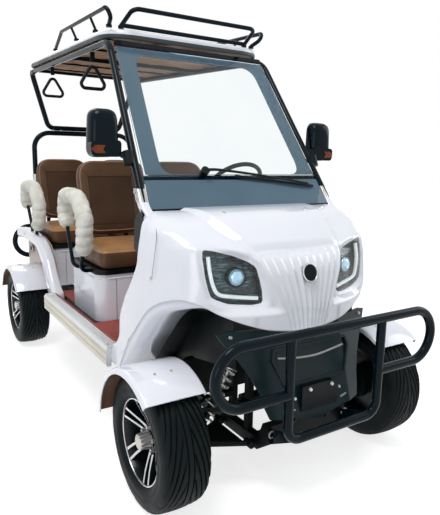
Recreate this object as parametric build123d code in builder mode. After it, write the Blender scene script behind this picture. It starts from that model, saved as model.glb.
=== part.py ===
from build123d import *
from math import cos, sin, tan, radians, degrees, atan2, hypot
import os

# Four-seat golf cart with an open body, a roof and a roof rack, in millimetres.
# It faces -Y, +Z is up and +X is the vehicle's left. The ground is Z = 0 under the middle of its length and width.

os.makedirs("parts", exist_ok=True)

# Running gear
FRONT_AXLE_Y = -1180
REAR_AXLE_Y = 1057
WHEEL_X = 591  # middle of each tyre
TYRE_RADIUS = 278
TYRE_WIDTH = 200
BEAD_RADIUS = 157
BEAD_HALF = 84  # half the distance between the two tyre beads
FLANGE_RADIUS = 171
FLANGE_THICKNESS = 7
BARREL_THICKNESS = 7
HUB_FACE = 39  # outward from the middle of the wheel
HUB_RADIUS = 38
STUB_RADIUS = 15
BEARING_CLEARANCE = 0.05
KINGPIN_X = 470
KINGPIN_RADIUS = 10
STEERING_ARM = 100  # kingpin to track rod pivot
RACK_Y = FRONT_AXLE_Y + STEERING_ARM
ROD_Z = 287

# Mudguards
GUARD_INNER_RADIUS = 293
GUARD_THICKNESS = 6
GUARD_IN_X = 477
GUARD_OUT_X = 733
REAR_GUARD_OUT_X = 718

# Frame and floor
RAIL_X = 330
RAIL_LOW, RAIL_TOP = 360, 440
FLOOR_TOP = 450
FLOOR_HALF = 556
SILL_OUT_X = 625
SILL_FRONT_Y, SILL_REAR_Y = -697, 420

# Windscreen plane: through its bottom and top edges
SCREEN_LOW_Y, SCREEN_LOW_Z, SCREEN_LOW_HALF = -928, 1150, 500
SCREEN_TOP_Y, SCREEN_TOP_Z, SCREEN_TOP_HALF = -391, 1902, 436
SCREEN_JOINT_Z = 1285
GLASS_THICKNESS = 5
POST_RADIUS = 17

# Roof
ROOF_FRONT_Y, ROOF_REAR_Y = -380, 1370
ROOF_FRONT_Z, ROOF_REAR_Z = 1945, 2012  # underside of the edge
ROOF_FRONT_HALF, ROOF_REAR_HALF = 472, 442
ROOF_DEPTH = 55
ROOF_CROWN = 24  # height of the sloping margin round the top
ROOF_CORNER = 170

# Bumpers and rack
BUMPER_TUBE = 20
FRONT_BUMPER_Y, REAR_BUMPER_Y = -1555, 1555
RACK_TUBE = 11

# Front apron: its middle leans back as it rises
APRON_LEAN = 0.29
APRON_THICKNESS = 8

# Seats
SEAT_PITCH = 980
SEAT_FRONT_Y = -160  # front of the front seat box
SEAT_X = 240  # middle of each seat
SEAT_WIDTH = 400


def add_block(low, high):
    """A box between two opposite corners."""
    size = [h - l for l, h in zip(low, high)]
    middle = [(l + h) / 2 for l, h in zip(low, high)]
    with Locations(tuple(middle)):
        Box(*size)


def add_tube(points, radius, bend):
    """A round bar along straight runs joined by bends."""
    with BuildLine() as path:
        if len(points) > 2:
            FilletPolyline(*points, radius=bend)
        else:
            Line(*points)
    with BuildSketch(Plane(origin=path.line @ 0, z_dir=path.line % 0)) as section:
        Circle(radius)
    sweep(section.sketch, path=path.line)


def add_rod(start, end, radius):
    """A straight round bar between two points."""
    add_tube([start, end], radius, 0)


def add_side_plate(outline, x_low, x_high, mode=Mode.ADD):
    """A plate whose outline is drawn in Y and Z, between two values of X."""
    with BuildSketch(Plane.YZ.offset(x_low)) as face:
        with BuildLine():
            Polyline(*outline, close=True)
        make_face()
    extrude(face.sketch, amount=x_high - x_low, mode=mode)


def apron_y(z):
    """Y of the middle of the apron's front face at a height."""
    return -1440 + APRON_LEAN * (z - 473)


def screen_y(z):
    """Y of the windscreen plane at a height."""
    share = (z - SCREEN_LOW_Z) / (SCREEN_TOP_Z - SCREEN_LOW_Z)
    return SCREEN_LOW_Y + share * (SCREEN_TOP_Y - SCREEN_LOW_Y)


def screen_half(z):
    """Half width of the windscreen at a height."""
    share = (z - SCREEN_LOW_Z) / (SCREEN_TOP_Z - SCREEN_LOW_Z)
    return SCREEN_LOW_HALF + share * (SCREEN_TOP_HALF - SCREEN_LOW_HALF)


SCREEN_SLOPE = atan2(SCREEN_TOP_Z - SCREEN_LOW_Z, SCREEN_TOP_Y - SCREEN_LOW_Y)
SCREEN_ALONG = Vector(0, cos(SCREEN_SLOPE), sin(SCREEN_SLOPE))
SCREEN_NORMAL = Vector(0, -sin(SCREEN_SLOPE), cos(SCREEN_SLOPE))


def add_screen_pane(z_low, z_high, offset, thickness, trim=0):
    """A flat pane in the windscreen plane, from one height to another."""
    face_plane = Plane(
        origin=Vector(0, SCREEN_LOW_Y, SCREEN_LOW_Z) + SCREEN_NORMAL * offset,
        x_dir=(1, 0, 0),
        z_dir=SCREEN_NORMAL,
    )
    low = (z_low - SCREEN_LOW_Z) / sin(SCREEN_SLOPE)
    high = (z_high - SCREEN_LOW_Z) / sin(SCREEN_SLOPE)
    with BuildSketch(face_plane) as face:
        with BuildLine():
            Polyline(
                (-screen_half(z_low) + trim, low),
                (screen_half(z_low) - trim, low),
                (screen_half(z_high) - trim, high),
                (-screen_half(z_high) + trim, high),
                close=True,
            )
        make_face()
    extrude(face.sketch, amount=thickness)


# Wheels: a plain tyre and a rim with six twin spokes, turning on the stub axle

SPOKES = 6
POCKET_ANGLE = 36  # opening between two twin spokes
SLOT_WIDTH = 12
POCKET_LOW, POCKET_HIGH = 56, 140
SPOKE_THICKNESS = 18

# name, side of the vehicle, axle
WHEELS = [
    ("front_left", 1, FRONT_AXLE_Y),
    ("front_right", -1, FRONT_AXLE_Y),
    ("rear_left", 1, REAR_AXLE_Y),
    ("rear_right", -1, REAR_AXLE_Y),
]

for name, side, axle_y in WHEELS:
    centre = Vector(side * WHEEL_X, axle_y, TYRE_RADIUS)
    section_plane = Plane(origin=centre, x_dir=(0, 0, 1), z_dir=(0, side, 0))
    face_plane = Plane(origin=centre, x_dir=(0, 1, 0), z_dir=(side, 0, 0))
    spin = Axis(centre, (side, 0, 0))
    half = TYRE_WIDTH / 2

    # Distance from the axle and distance outward of each corner of the tyre's section
    with BuildPart() as tyre:
        with BuildSketch(section_plane):
            with BuildLine():
                Polyline(
                    (BEAD_RADIUS, -BEAD_HALF),
                    (BEAD_RADIUS, BEAD_HALF),
                    (FLANGE_RADIUS + 2, BEAD_HALF),
                    (FLANGE_RADIUS + 14, half - 4),
                    (222, half),
                    (255, half - 6),
                    (TYRE_RADIUS - 6, half - 20),
                    (TYRE_RADIUS, half - 45),
                    (TYRE_RADIUS, -half + 45),
                    (TYRE_RADIUS - 6, -half + 20),
                    (255, -half + 6),
                    (222, -half),
                    (FLANGE_RADIUS + 14, -half + 4),
                    (FLANGE_RADIUS + 2, -BEAD_HALF),
                    close=True,
                )
            make_face()
        revolve(axis=spin)
    tyre.part.label = f"tyre_{name}"
    export_step(tyre.part, f"parts/tyre_{name}.step")

    with BuildPart() as rim:
        with BuildSketch(section_plane):
            with BuildLine():
                Polyline(
                    (BEAD_RADIUS - BARREL_THICKNESS, -BEAD_HALF - FLANGE_THICKNESS),
                    (FLANGE_RADIUS, -BEAD_HALF - FLANGE_THICKNESS),
                    (FLANGE_RADIUS, -BEAD_HALF),
                    (BEAD_RADIUS, -BEAD_HALF),
                    (BEAD_RADIUS, BEAD_HALF),
                    (FLANGE_RADIUS, BEAD_HALF),
                    (FLANGE_RADIUS, BEAD_HALF + FLANGE_THICKNESS),
                    (BEAD_RADIUS - BARREL_THICKNESS, BEAD_HALF + FLANGE_THICKNESS),
                    close=True,
                )
            make_face()
        revolve(axis=spin)
        # Dished spoke disc, then the hub boss
        with BuildSketch(section_plane):
            with BuildLine():
                Polyline(
                    (STUB_RADIUS + BEARING_CLEARANCE, HUB_FACE - SPOKE_THICKNESS),
                    (HUB_RADIUS, HUB_FACE - SPOKE_THICKNESS),
                    (BEAD_RADIUS - 4, HUB_FACE + 12),
                    (BEAD_RADIUS - 4, HUB_FACE + 30),
                    (HUB_RADIUS + 16, HUB_FACE),
                    (STUB_RADIUS + BEARING_CLEARANCE, HUB_FACE),
                    close=True,
                )
            make_face()
        revolve(axis=spin)
        with BuildSketch(face_plane.offset(-HUB_FACE - 5)):
            Circle(HUB_RADIUS)
            Circle(STUB_RADIUS + BEARING_CLEARANCE, mode=Mode.SUBTRACT)
        extrude(amount=2 * HUB_FACE + 5)
        with BuildSketch(face_plane):
            with PolarLocations(0, SPOKES):
                with BuildLine():
                    Polyline(
                        Vector(POCKET_LOW, 0).rotate(Axis.Z, -POCKET_ANGLE / 3),
                        Vector(POCKET_HIGH, 0).rotate(Axis.Z, -POCKET_ANGLE / 2),
                        Vector(POCKET_HIGH + 5, 0),
                        Vector(POCKET_HIGH, 0).rotate(Axis.Z, POCKET_ANGLE / 2),
                        Vector(POCKET_LOW, 0).rotate(Axis.Z, POCKET_ANGLE / 3),
                        close=True,
                    )
                make_face()
        extrude(amount=BEAD_HALF, mode=Mode.SUBTRACT)
        with BuildSketch(face_plane):
            with PolarLocations((POCKET_LOW + POCKET_HIGH) / 2 + 8, SPOKES, start_angle=180 / SPOKES):
                SlotOverall(POCKET_HIGH - POCKET_LOW - 20, SLOT_WIDTH)
        extrude(amount=BEAD_HALF, mode=Mode.SUBTRACT)
        # Centre cap
        with BuildSketch(face_plane.offset(HUB_FACE)):
            Circle(HUB_RADIUS - 6)
        extrude(amount=BEAD_HALF + FLANGE_THICKNESS - HUB_FACE, taper=8)
    rim.part.label = f"rim_{name}"
    export_step(rim.part, f"parts/rim_{name}.step")

# Front knuckles, mudguards and their stays, which steer with the wheels

POST_LOW, POST_HIGH = 216, 346
DRUM_RADIUS = 84
ARM_LOW, ARM_HIGH = 262, 276
STAY_LOW = 378


def add_guard(side, axle_y, x_in, x_out, start_angle, end_angle):
    """A mudguard shell around a tyre, angles measured at the wheel from straight ahead over the top."""
    with BuildSketch(Plane.YZ.offset(side * x_in)) as face:
        with BuildLine():
            outer = CenterArc(
                (axle_y, TYRE_RADIUS),
                GUARD_INNER_RADIUS + GUARD_THICKNESS,
                180 - end_angle,
                end_angle - start_angle,
            )
            inner = CenterArc(
                (axle_y, TYRE_RADIUS), GUARD_INNER_RADIUS, 180 - end_angle, end_angle - start_angle
            )
            Line(outer @ 0, inner @ 0)
            Line(outer @ 1, inner @ 1)
        make_face()
    extrude(face.sketch, amount=side * (x_out - x_in))


for name, side in [("left", 1), ("right", -1)]:
    kingpin = Vector(side * KINGPIN_X, FRONT_AXLE_Y, 0)

    with BuildPart() as knuckle:
        with BuildSketch(Plane.XY.offset(POST_LOW)):
            with Locations((kingpin.X, kingpin.Y)):
                Circle(19)
        extrude(amount=POST_HIGH - POST_LOW)
        with BuildSketch(Plane.XY.offset(POST_LOW - 26)):
            with Locations((kingpin.X, kingpin.Y)):
                Circle(KINGPIN_RADIUS)
        extrude(amount=POST_HIGH - POST_LOW + 66)
        # Stub axle and brake drum
        with BuildSketch(Plane.YZ.offset(side * KINGPIN_X)):
            with Locations((FRONT_AXLE_Y, TYRE_RADIUS)):
                Circle(STUB_RADIUS)
        extrude(amount=side * (WHEEL_X - KINGPIN_X + 20))
        with BuildSketch(Plane.YZ.offset(side * (KINGPIN_X + 26))):
            with Locations((FRONT_AXLE_Y, TYRE_RADIUS)):
                Circle(DRUM_RADIUS)
        extrude(amount=side * 40)
        # Steering arm
        arm_x = sorted([kingpin.X - 11, kingpin.X + 11])
        add_block((arm_x[0], FRONT_AXLE_Y, ARM_LOW), (arm_x[1], RACK_Y, ARM_HIGH))
        with BuildSketch(Plane.XY.offset(ARM_LOW)):
            with Locations((kingpin.X, RACK_Y)):
                Circle(15)
        extrude(amount=ARM_HIGH - ARM_LOW)
        # Mudguard stay: a flat strap up the inside of the tyre
        strap_x = sorted([side * (GUARD_IN_X - 1), side * (GUARD_IN_X + 5)])
        add_block(
            (strap_x[0], FRONT_AXLE_Y - 22, STAY_LOW),
            (strap_x[1], FRONT_AXLE_Y + 22, TYRE_RADIUS + GUARD_INNER_RADIUS - 1),
        )
        foot_x = sorted([side * (KINGPIN_X - 14), strap_x[0] if side < 0 else strap_x[1]])
        add_block((foot_x[0], FRONT_AXLE_Y - 16, STAY_LOW), (foot_x[1], FRONT_AXLE_Y + 16, STAY_LOW + 8))
    knuckle.part.label = f"knuckle_{name}"
    export_step(knuckle.part, f"parts/knuckle_{name}.step")

    with BuildPart() as guard:
        add_guard(side, FRONT_AXLE_Y, GUARD_IN_X, GUARD_OUT_X, 52, 176)
    guard.part.label = f"front_mudguard_{name}"
    export_step(guard.part, f"parts/front_mudguard_{name}.step")

# Steering rack with its two track rods: they slide together

with BuildPart() as track_rods:
    add_rod((-KINGPIN_X, RACK_Y, ROD_Z), (KINGPIN_X, RACK_Y, ROD_Z), 8)
    for side in (-1, 1):
        with Locations((side * KINGPIN_X, RACK_Y, ROD_Z)):
            Cylinder(13, 12)
        with Locations((side * 240, RACK_Y, ROD_Z)):
            Cylinder(15, 50, rotation=(0, 90, 0))
track_rods.part.label = "track_rods"
export_step(track_rods.part, "parts/track_rods.step")

RACK_HOUSING_HALF = 120

with BuildPart() as rack_housing:
    with Locations((0, RACK_Y, ROD_Z)):
        Cylinder(24, 2 * RACK_HOUSING_HALF, rotation=(0, 90, 0))
        Cylinder(8.05, 2 * RACK_HOUSING_HALF, rotation=(0, 90, 0), mode=Mode.SUBTRACT)
rack_housing.part.label = "steering_rack_housing"
export_step(rack_housing.part, "parts/steering_rack_housing.step")

# Front suspension: two wishbones a side and a coil-over shock between the upper arms

LOWER_EYE_Z, UPPER_EYE_Z = 204, 357
LOWER_PIVOT_X, LOWER_PIVOT_SPREAD = 228, 120
UPPER_PIVOT_X, UPPER_PIVOT_SPREAD = 262, 95

with BuildPart() as wishbones:
    # eye height, pivot across, pivot spread, bar radius
    for eye_z, pivot_x, spread, bar in [
        (LOWER_EYE_Z, LOWER_PIVOT_X, LOWER_PIVOT_SPREAD, 12),
        (UPPER_EYE_Z, UPPER_PIVOT_X, UPPER_PIVOT_SPREAD, 9),
    ]:
        for end in (-1, 1):
            add_rod(
                (KINGPIN_X - 12, FRONT_AXLE_Y, eye_z),
                (pivot_x, FRONT_AXLE_Y + end * spread, eye_z),
                bar,
            )
            with Locations((pivot_x, FRONT_AXLE_Y + end * spread, eye_z)):
                Cylinder(16, 44, rotation=(90, 0, 0))
        with Locations((KINGPIN_X, FRONT_AXLE_Y, eye_z)):
            Cylinder(19, 18)
            Cylinder(KINGPIN_RADIUS + BEARING_CLEARANCE, 30, mode=Mode.SUBTRACT)
    # Pressed web between the bars of the lower wishbone
    with BuildSketch(Plane.XY.offset(LOWER_EYE_Z - 6)) as web:
        y = [FRONT_AXLE_Y + across for across in (-100, -38, 38, 100)]
        with BuildLine():
            Polyline((246, y[0]), (378, y[1]), (378, y[2]), (246, y[3]), close=True)
        make_face()
    extrude(web.sketch, amount=12)
    mirror(about=Plane.YZ)
wishbones.part.label = "front_wishbones"
export_step(wishbones.part, "parts/front_wishbones.step")

SHOCK_TOP = Vector(228, FRONT_AXLE_Y, 545)
SHOCK_LOW = Vector(408, FRONT_AXLE_Y, 243)
COIL_RADIUS = 27
COIL_WIRE = 5.5
COIL_TURNS = 8


def add_shock(top, low):
    """A damper with eyes at both ends, and its spring as a stack of rings clear of the damper."""
    along = (low - top).normalized()
    length = (low - top).length
    add_rod(tuple(top + along * 10), tuple(low - along * 10), 11)
    for eye in (top, low):
        with BuildSketch(Plane(origin=eye - Vector(0, 18, 0), z_dir=(0, 1, 0))) as face:
            Circle(16)
        extrude(face.sketch, amount=36)
    for share in (0.14, 0.80):
        seat_plane = Plane(origin=top + along * (share * length), z_dir=tuple(along))
        with BuildSketch(seat_plane) as face:
            Circle(COIL_RADIUS + 6)
        extrude(face.sketch, amount=6)
    first = 0.14 * length + 6 + 2 + COIL_WIRE
    last = 0.80 * length - 2 - COIL_WIRE
    for turn in range(COIL_TURNS):
        place = first + (last - first) * turn / (COIL_TURNS - 1)
        ring = Solid.make_torus(
            COIL_RADIUS, COIL_WIRE, Plane(origin=top + along * place, z_dir=tuple(along))
        )
        add(ring)


with BuildPart() as front_shocks:
    add_shock(SHOCK_TOP, SHOCK_LOW)
    mirror(about=Plane.YZ)
front_shocks.part.label = "front_shocks"
export_step(front_shocks.part, "parts/front_shocks.step")

# Ladder frame with its front subframe

SUBFRAME_X = 190
CROSSMEMBER_TOP = 318
TOWER_Y_HALF = 24

with BuildPart() as frame_rails:
    for side in (-1, 1):
        x = sorted([side * (RAIL_X - 25), side * (RAIL_X + 25)])
        add_block((x[0], -850, RAIL_LOW), (x[1], 1430, RAIL_TOP))
        x = sorted([side * (SUBFRAME_X - 20), side * (SUBFRAME_X + 20)])
        add_block((x[0], -1330, 185), (x[1], -790, 235))
        # Nose of each rail turned up to carry the bumper and the apron
        add_side_plate(
            [(-1330, 185), (-1404, 240), (-1404, CROSSMEMBER_TOP), (-1364, CROSSMEMBER_TOP), (-1330, 235)], *x
        )
frame_rails.part.label = "frame_rails"
export_step(frame_rails.part, "parts/frame_rails.step")

with BuildPart() as frame_members:
    inner = RAIL_X - 25
    for y in (-300, 380, 860, 1400):
        add_block((-inner, y - 20, RAIL_LOW + 10), (inner, y + 20, RAIL_TOP - 10))
    # Step from the low subframe up to the rails
    add_block((-inner, -850, 235), (inner, -800, RAIL_TOP - 10))
    add_block((-SUBFRAME_X + 20, -1310, 190), (SUBFRAME_X - 20, -1270, 230))
    add_block((-SUBFRAME_X + 20, -1404, 240), (SUBFRAME_X - 20, -1364, CROSSMEMBER_TOP))
    # Gussets that hold the apron off the front crossmember
    for side in (-1, 1):
        x = sorted([side * 96, side * 102])
        back = [(apron_y(z) + APRON_THICKNESS, z) for z in (372, 480)]
        add_side_plate([(-1404, 280), *back, (-1364, CROSSMEMBER_TOP), (-1380, 280)], *x)
frame_members.part.label = "frame_members"
export_step(frame_members.part, "parts/frame_members.step")

with BuildPart() as shock_towers:
    for side in (-1, 1):
        x = sorted([side * 178, side * 206])
        for end in (-1, 1):
            y = FRONT_AXLE_Y + end * 60
            add_block((x[0], y - 15, 235), (x[1], y + 15, 600))
        add_block((x[0], FRONT_AXLE_Y - 75, 600), (x[1], FRONT_AXLE_Y + 75, 625))
        x = sorted([side * 206, side * 246])
        for end in (-1, 1):
            y = FRONT_AXLE_Y + end * UPPER_PIVOT_SPREAD
            low = sorted([FRONT_AXLE_Y + end * 45, y])
            add_block((x[0], low[0], UPPER_EYE_Z - 12), (x[1], low[1], UPPER_EYE_Z + 12))
    add_block((-178, FRONT_AXLE_Y - 20, 600), (178, FRONT_AXLE_Y + 20, 625))
shock_towers.part.label = "shock_towers"
export_step(shock_towers.part, "parts/shock_towers.step")

# Rear axle, drive motor, battery and rear shocks

# Distance along X and radius of the left half of the axle
AXLE_PROFILE = [
    (0, 92),
    (60, 78),
    (95, 34),
    (WHEEL_X - 92, 34),
    (WHEEL_X - 92, DRUM_RADIUS),
    (WHEEL_X - 54, DRUM_RADIUS),
    (WHEEL_X - 54, STUB_RADIUS),
    (WHEEL_X + 20, STUB_RADIUS),
]

with BuildPart() as rear_axle:
    with BuildSketch(Plane(origin=(0, REAR_AXLE_Y, TYRE_RADIUS), x_dir=(1, 0, 0), z_dir=(0, -1, 0))):
        with BuildLine():
            left = [(-x, r) for x, r in reversed(AXLE_PROFILE[1:])]
            Polyline((-WHEEL_X - 20, 0), *left, *AXLE_PROFILE, (WHEEL_X + 20, 0), close=True)
        make_face()
    revolve(axis=Axis((0, REAR_AXLE_Y, TYRE_RADIUS), (1, 0, 0)))
rear_axle.part.label = "rear_axle"
export_step(rear_axle.part, "parts/rear_axle.step")

with BuildPart() as motor:
    with Locations((0, REAR_AXLE_Y + 190, TYRE_RADIUS + 12)):
        Cylinder(85, 190, rotation=(90, 0, 0))
motor.part.label = "drive_motor"
export_step(motor.part, "parts/drive_motor.step")

with BuildPart() as battery:
    add_block((-430, -100, FLOOR_TOP + 6), (430, 240, 680))
battery.part.label = "battery_pack"
export_step(battery.part, "parts/battery_pack.step")

with BuildPart() as rear_shocks:
    add_shock(Vector(400, REAR_AXLE_Y + 85, 620), Vector(420, REAR_AXLE_Y + 75, 290))
    mirror(about=Plane.YZ)
rear_shocks.part.label = "rear_shocks"
export_step(rear_shocks.part, "parts/rear_shocks.step")

# Floor, mats and side steps

with BuildPart() as floor_pan:
    add_block((-FLOOR_HALF, -790, RAIL_TOP), (FLOOR_HALF, SILL_REAR_Y, FLOOR_TOP))
    add_block((-472, SILL_REAR_Y, RAIL_TOP), (472, 640, FLOOR_TOP))
    add_side_plate([(-790, RAIL_TOP), (-970, 640), (-970, 655), (-784, 450)], -480, 480)
floor_pan.part.label = "floor_pan"
export_step(floor_pan.part, "parts/floor_pan.step")

with BuildPart() as floor_mats:
    # front edge, rear edge, half width
    for low, high, half in [(-775, SEAT_FRONT_Y - 6, FLOOR_HALF - 8), (300, 636, 464)]:
        add_block((-half, low, FLOOR_TOP), (half, high, FLOOR_TOP + 6))
floor_mats.part.label = "floor_mats"
export_step(floor_mats.part, "parts/floor_mats.step")

with BuildPart() as side_steps:
    for side in (-1, 1):
        x = sorted([side * FLOOR_HALF, side * SILL_OUT_X])
        add_block((x[0], SILL_FRONT_Y, 408), (x[1], SILL_REAR_Y, 505))
side_steps.part.label = "side_steps"
export_step(side_steps.part, "parts/side_steps.step")

# Front cowl: a hollow shell, the part common to a side profile and a plan outline, under a raised hood

COWL_THICKNESS = 6
COWL_HALF = 600

# Y and Z of the shoulders and nose, from the windscreen forward and down
SHOULDER_PROFILE = [
    (-700, 1146),
    (-928, 1146),
    (-1050, 1120),
    (-1160, 1078),
    (-1240, 1036),
    (-1310, 985),
    (-1362, 925),
    (-1390, 850),
    (-1395, 780),
    (-1395, 400),
    (-700, 400),
]
# X and Y of the widest outline, on the vehicle's left, from the door opening forward
COWL_PLAN = [
    (COWL_HALF, -620),
    (COWL_HALF - 2, -900),
    (585, -1030),
    (550, -1120),
    (475, -1225),
    (360, -1305),
    (190, -1368),
    (0, -1395),
]
# Y and Z down the middle of the raised hood
HOOD_PROFILE = [
    (-700, 1180),
    (-928, 1180),
    (-1010, 1168),
    (-1130, 1125),
    (-1272, 1045),
    (-1294, 1012),
    (-1300, 900),
    (-700, 900),
]
# X and Y of the hood's outline
HOOD_PLAN = [(420, -700), (395, -930), (348, -1050), (222, -1272), (200, -1320)]
# Side of the shell seen from the front: the wing leans in towards its top
WING_LEAN = [(COWL_HALF, 400), (COWL_HALF, 790), (585, 900), (560, 1010), (530, 1090), (505, 1146)]
# Y and Z of the lower edge, from the side step over the wheel to the nose
COWL_EDGE = [
    (-800, 436),
    (-815, 480),
    (-850, 540),
    (-905, 600),
    (-965, 663),
    (-1020, 735),
    (-1082, 788),
    (-1140, 818),
    (-1200, 832),
    (-1250, 822),
    (-1300, 782),
    (-1345, 742),
    (-1400, 694),
]
# Y and Z of the door opening's edge, from the step up to the screen post
DOOR_EDGE = [
    (-640, 505),
    (-735, 535),
    (-785, 580),
    (-800, 668),
    (-860, 775),
    (-930, 888),
    (-962, 960),
    (-965, 1050),
    (-945, 1150),
]


def add_plan_block(outline, low, high, mode):
    """A block whose plan is drawn in X and Y on the left and mirrored to the right."""
    with BuildSketch(Plane.XY.offset(low)) as plan:
        with BuildLine():
            right = [(-x, y) for x, y in reversed(outline) if x > 0]
            Polyline(*outline, *right, close=True)
        make_face()
    extrude(plan.sketch, amount=high - low, mode=mode)


def cowl_block(inset):
    """The cowl's outer form, moved inward by an inset, with its rear left where it is."""
    with BuildPart() as block:
        profile = [(y + inset if y < -701 else y, z - inset if z > 401 else z) for y, z in SHOULDER_PROFILE]
        add_side_plate(profile, -COWL_HALF, COWL_HALF)
        plan = [(max(x - inset, 0), y + inset if y < -621 else y) for x, y in COWL_PLAN]
        add_plan_block(plan, 300, 1300, Mode.INTERSECT)
        with BuildSketch(Plane.XZ.offset(600)) as front:
            with BuildLine():
                right = [(x - inset, z) for x, z in WING_LEAN]
                left = [(-x, z) for x, z in reversed(right)]
                Polyline(*right, *left, close=True)
            make_face()
        extrude(front.sketch, amount=900, mode=Mode.INTERSECT)
        with BuildPart(mode=Mode.PRIVATE) as hood:
            profile = [(y + inset if y < -701 else y, z - inset) for y, z in HOOD_PROFILE]
            add_side_plate(profile, -450, 450)
            add_plan_block([(x - inset, y) for x, y in HOOD_PLAN], 850, 1300, Mode.INTERSECT)
        add(hood.part)
    return block.part


# X and Z of a headlamp seen from the front, on the vehicle's left
LAMP_OUTLINE = [(195, 812), (222, 965), (300, 1000), (426, 1036), (418, 930), (398, 850), (330, 822)]
LAMP_DEPTH = 45
LAMP_GAP = 3


def add_lamp_outline(grow, y_rear, y_front, mode):
    """Both headlamp outlines as blocks along Y."""
    with BuildSketch(Plane.XZ.offset(-y_rear)) as face:
        for side in (-1, 1):
            with BuildLine():
                Polyline(*[(side * x, z) for x, z in LAMP_OUTLINE], close=True)
            make_face()
        offset(amount=grow, kind=Kind.ARC)
    extrude(face.sketch, amount=y_rear - y_front, mode=mode)


with BuildPart() as cowl:
    add(cowl_block(0))
    add(cowl_block(COWL_THICKNESS), mode=Mode.SUBTRACT)
    below = [(-500, 300), (-500, 436)] + COWL_EDGE + [(-1500, 690), (-1500, 300)]
    add_side_plate(below, -660, 660, mode=Mode.SUBTRACT)
    behind = DOOR_EDGE + [(-945, 1400), (-300, 1400), (-300, 505)]
    add_side_plate(behind, -660, 660, mode=Mode.SUBTRACT)
    add_lamp_outline(LAMP_GAP, -1000, -1500, Mode.SUBTRACT)
cowl.part.label = "front_cowl"
export_step(cowl.part, "parts/front_cowl.step")

with BuildPart() as headlamps:
    add(cowl_block(2))
    add(cowl_block(2 + LAMP_DEPTH), mode=Mode.SUBTRACT)
    add_lamp_outline(0, -1000, -1500, Mode.INTERSECT)
headlamps.part.label = "headlamps"
export_step(headlamps.part, "parts/headlamps.step")

# Lower front apron and the liners beside it

# X and Z of the right half of its outline, from the middle of the lower edge up
APRON_OUTLINE = [
    (0, 339), (125, 366), (236, 376), (253, 424), (262, 469), (291, 540), (325, 596), (375, 664), (402, 706), (356, 716)
]
# X, and how far back from the middle, of its plan
APRON_PLAN = [(0, 0), (175, 0), (430, 79)]
APRON_BASE_Z = 330
RECESS_OUTLINE = [(164, 490), (208, 598), (196, 640)]

with BuildPart() as apron:
    with BuildSketch(Plane.XY.offset(APRON_BASE_Z)) as plan:
        front = [(x, apron_y(APRON_BASE_Z) + back) for x, back in APRON_PLAN]
        front = [(-x, y) for x, y in front[:0:-1]] + front
        with BuildLine():
            Polyline(*front, *[(x, y + APRON_THICKNESS) for x, y in reversed(front)], close=True)
        make_face()
    extrude(plan.sketch, amount=405 * hypot(1, APRON_LEAN), dir=(0, APRON_LEAN, 1))
    with BuildSketch(Plane.XZ) as face:
        half = [*APRON_OUTLINE]
        with BuildLine():
            Polyline(*half, *[(-x, z) for x, z in reversed(half[1:])], close=True)
        make_face()
    extrude(face.sketch, amount=1600, mode=Mode.INTERSECT)
    # Raised frame round the shallow panel in its middle
    with BuildSketch(Plane.XZ) as frame:
        outer = [*RECESS_OUTLINE, *[(-x, z) for x, z in reversed(RECESS_OUTLINE)]]
        with BuildLine():
            Polyline(*outer, close=True)
        make_face()
        offset(amount=-9, mode=Mode.SUBTRACT)
    with BuildPart(mode=Mode.PRIVATE) as rim:
        extrude(frame.sketch, amount=1600)
        with BuildSketch(Plane.XY.offset(APRON_BASE_Z)) as plan:
            y = apron_y(APRON_BASE_Z)
            with BuildLine():
                Polyline((-215, y - 5), (215, y - 5), (215, y + 24), (175, y + 1), (-175, y + 1), (-215, y + 24), close=True)
            make_face()
        extrude(plan.sketch, amount=405 * hypot(1, APRON_LEAN), dir=(0, APRON_LEAN, 1), mode=Mode.INTERSECT)
    add(rim.part)
apron.part.label = "front_apron"
export_step(apron.part, "parts/front_apron.step")

LINER_IN_X = 324
# Y and Z of the curved panel over the wheel, from the floor up and forward
LINER_ARCH = [
    (-822, 452),
    (-868, 512),
    (-925, 576),
    (-1000, 655),
    (-1072, 752),
    (-1140, 792),
    (-1200, 800),
    (-1262, 790),
]
LINER_WALL = [
    (-1330, 560),
    (-1312, 690),
    (-1300, 760),
    (-1230, 795),
    (-1000, 795),
    (-985, 650),
    (-866, 520),
    (-1000, 500),
]

with BuildPart() as liners:
    with BuildSketch(Plane.YZ) as face:
        with BuildLine():
            Polyline(*LINER_ARCH, *[(y + 4, z + 4) for y, z in reversed(LINER_ARCH)], close=True)
        make_face()
    extrude(face.sketch, amount=COWL_HALF, both=True)
    add_plan_block([(max(x - 12, 0), y + 12 if y < -621 else y) for x, y in COWL_PLAN], 300, 1300, Mode.INTERSECT)
    with Locations((0, -1000, 650)):
        Box(2 * LINER_IN_X, 900, 700, mode=Mode.SUBTRACT)
    for side in (-1, 1):
        x = sorted([side * (LINER_IN_X - 6), side * LINER_IN_X])
        add_side_plate(LINER_WALL, x[0], x[1])
liners.part.label = "wheel_well_liners"
export_step(liners.part, "parts/wheel_well_liners.step")

# Front and rear bumpers


def add_bumper(y, z_top, z_low, half, turn):
    """A closed tube loop across the vehicle: two rails joined by half circles at the ends."""
    radius = (z_top - z_low) / 2
    straight = half - radius
    add_rod((-straight, y, z_top), (straight, y, z_top), BUMPER_TUBE)
    for side in (-1, 1):
        with BuildLine() as path:
            CenterArc((0, 0), radius, -90, 180)
        end_plane = Plane(origin=(side * straight, y, (z_top + z_low) / 2), x_dir=(side, 0, 0), z_dir=(0, -side, 0))
        arc = end_plane.from_local_coords(path.line)
        with BuildSketch(Plane(origin=arc @ 0, z_dir=arc % 0)) as section:
            Circle(BUMPER_TUBE)
        sweep(section.sketch, path=arc)
        add_rod((side * straight, y, z_low), (side * turn, y, z_low), BUMPER_TUBE)


FRONT_UPRIGHT_X = 238
UPRIGHT_LOW_Z = 336

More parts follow.
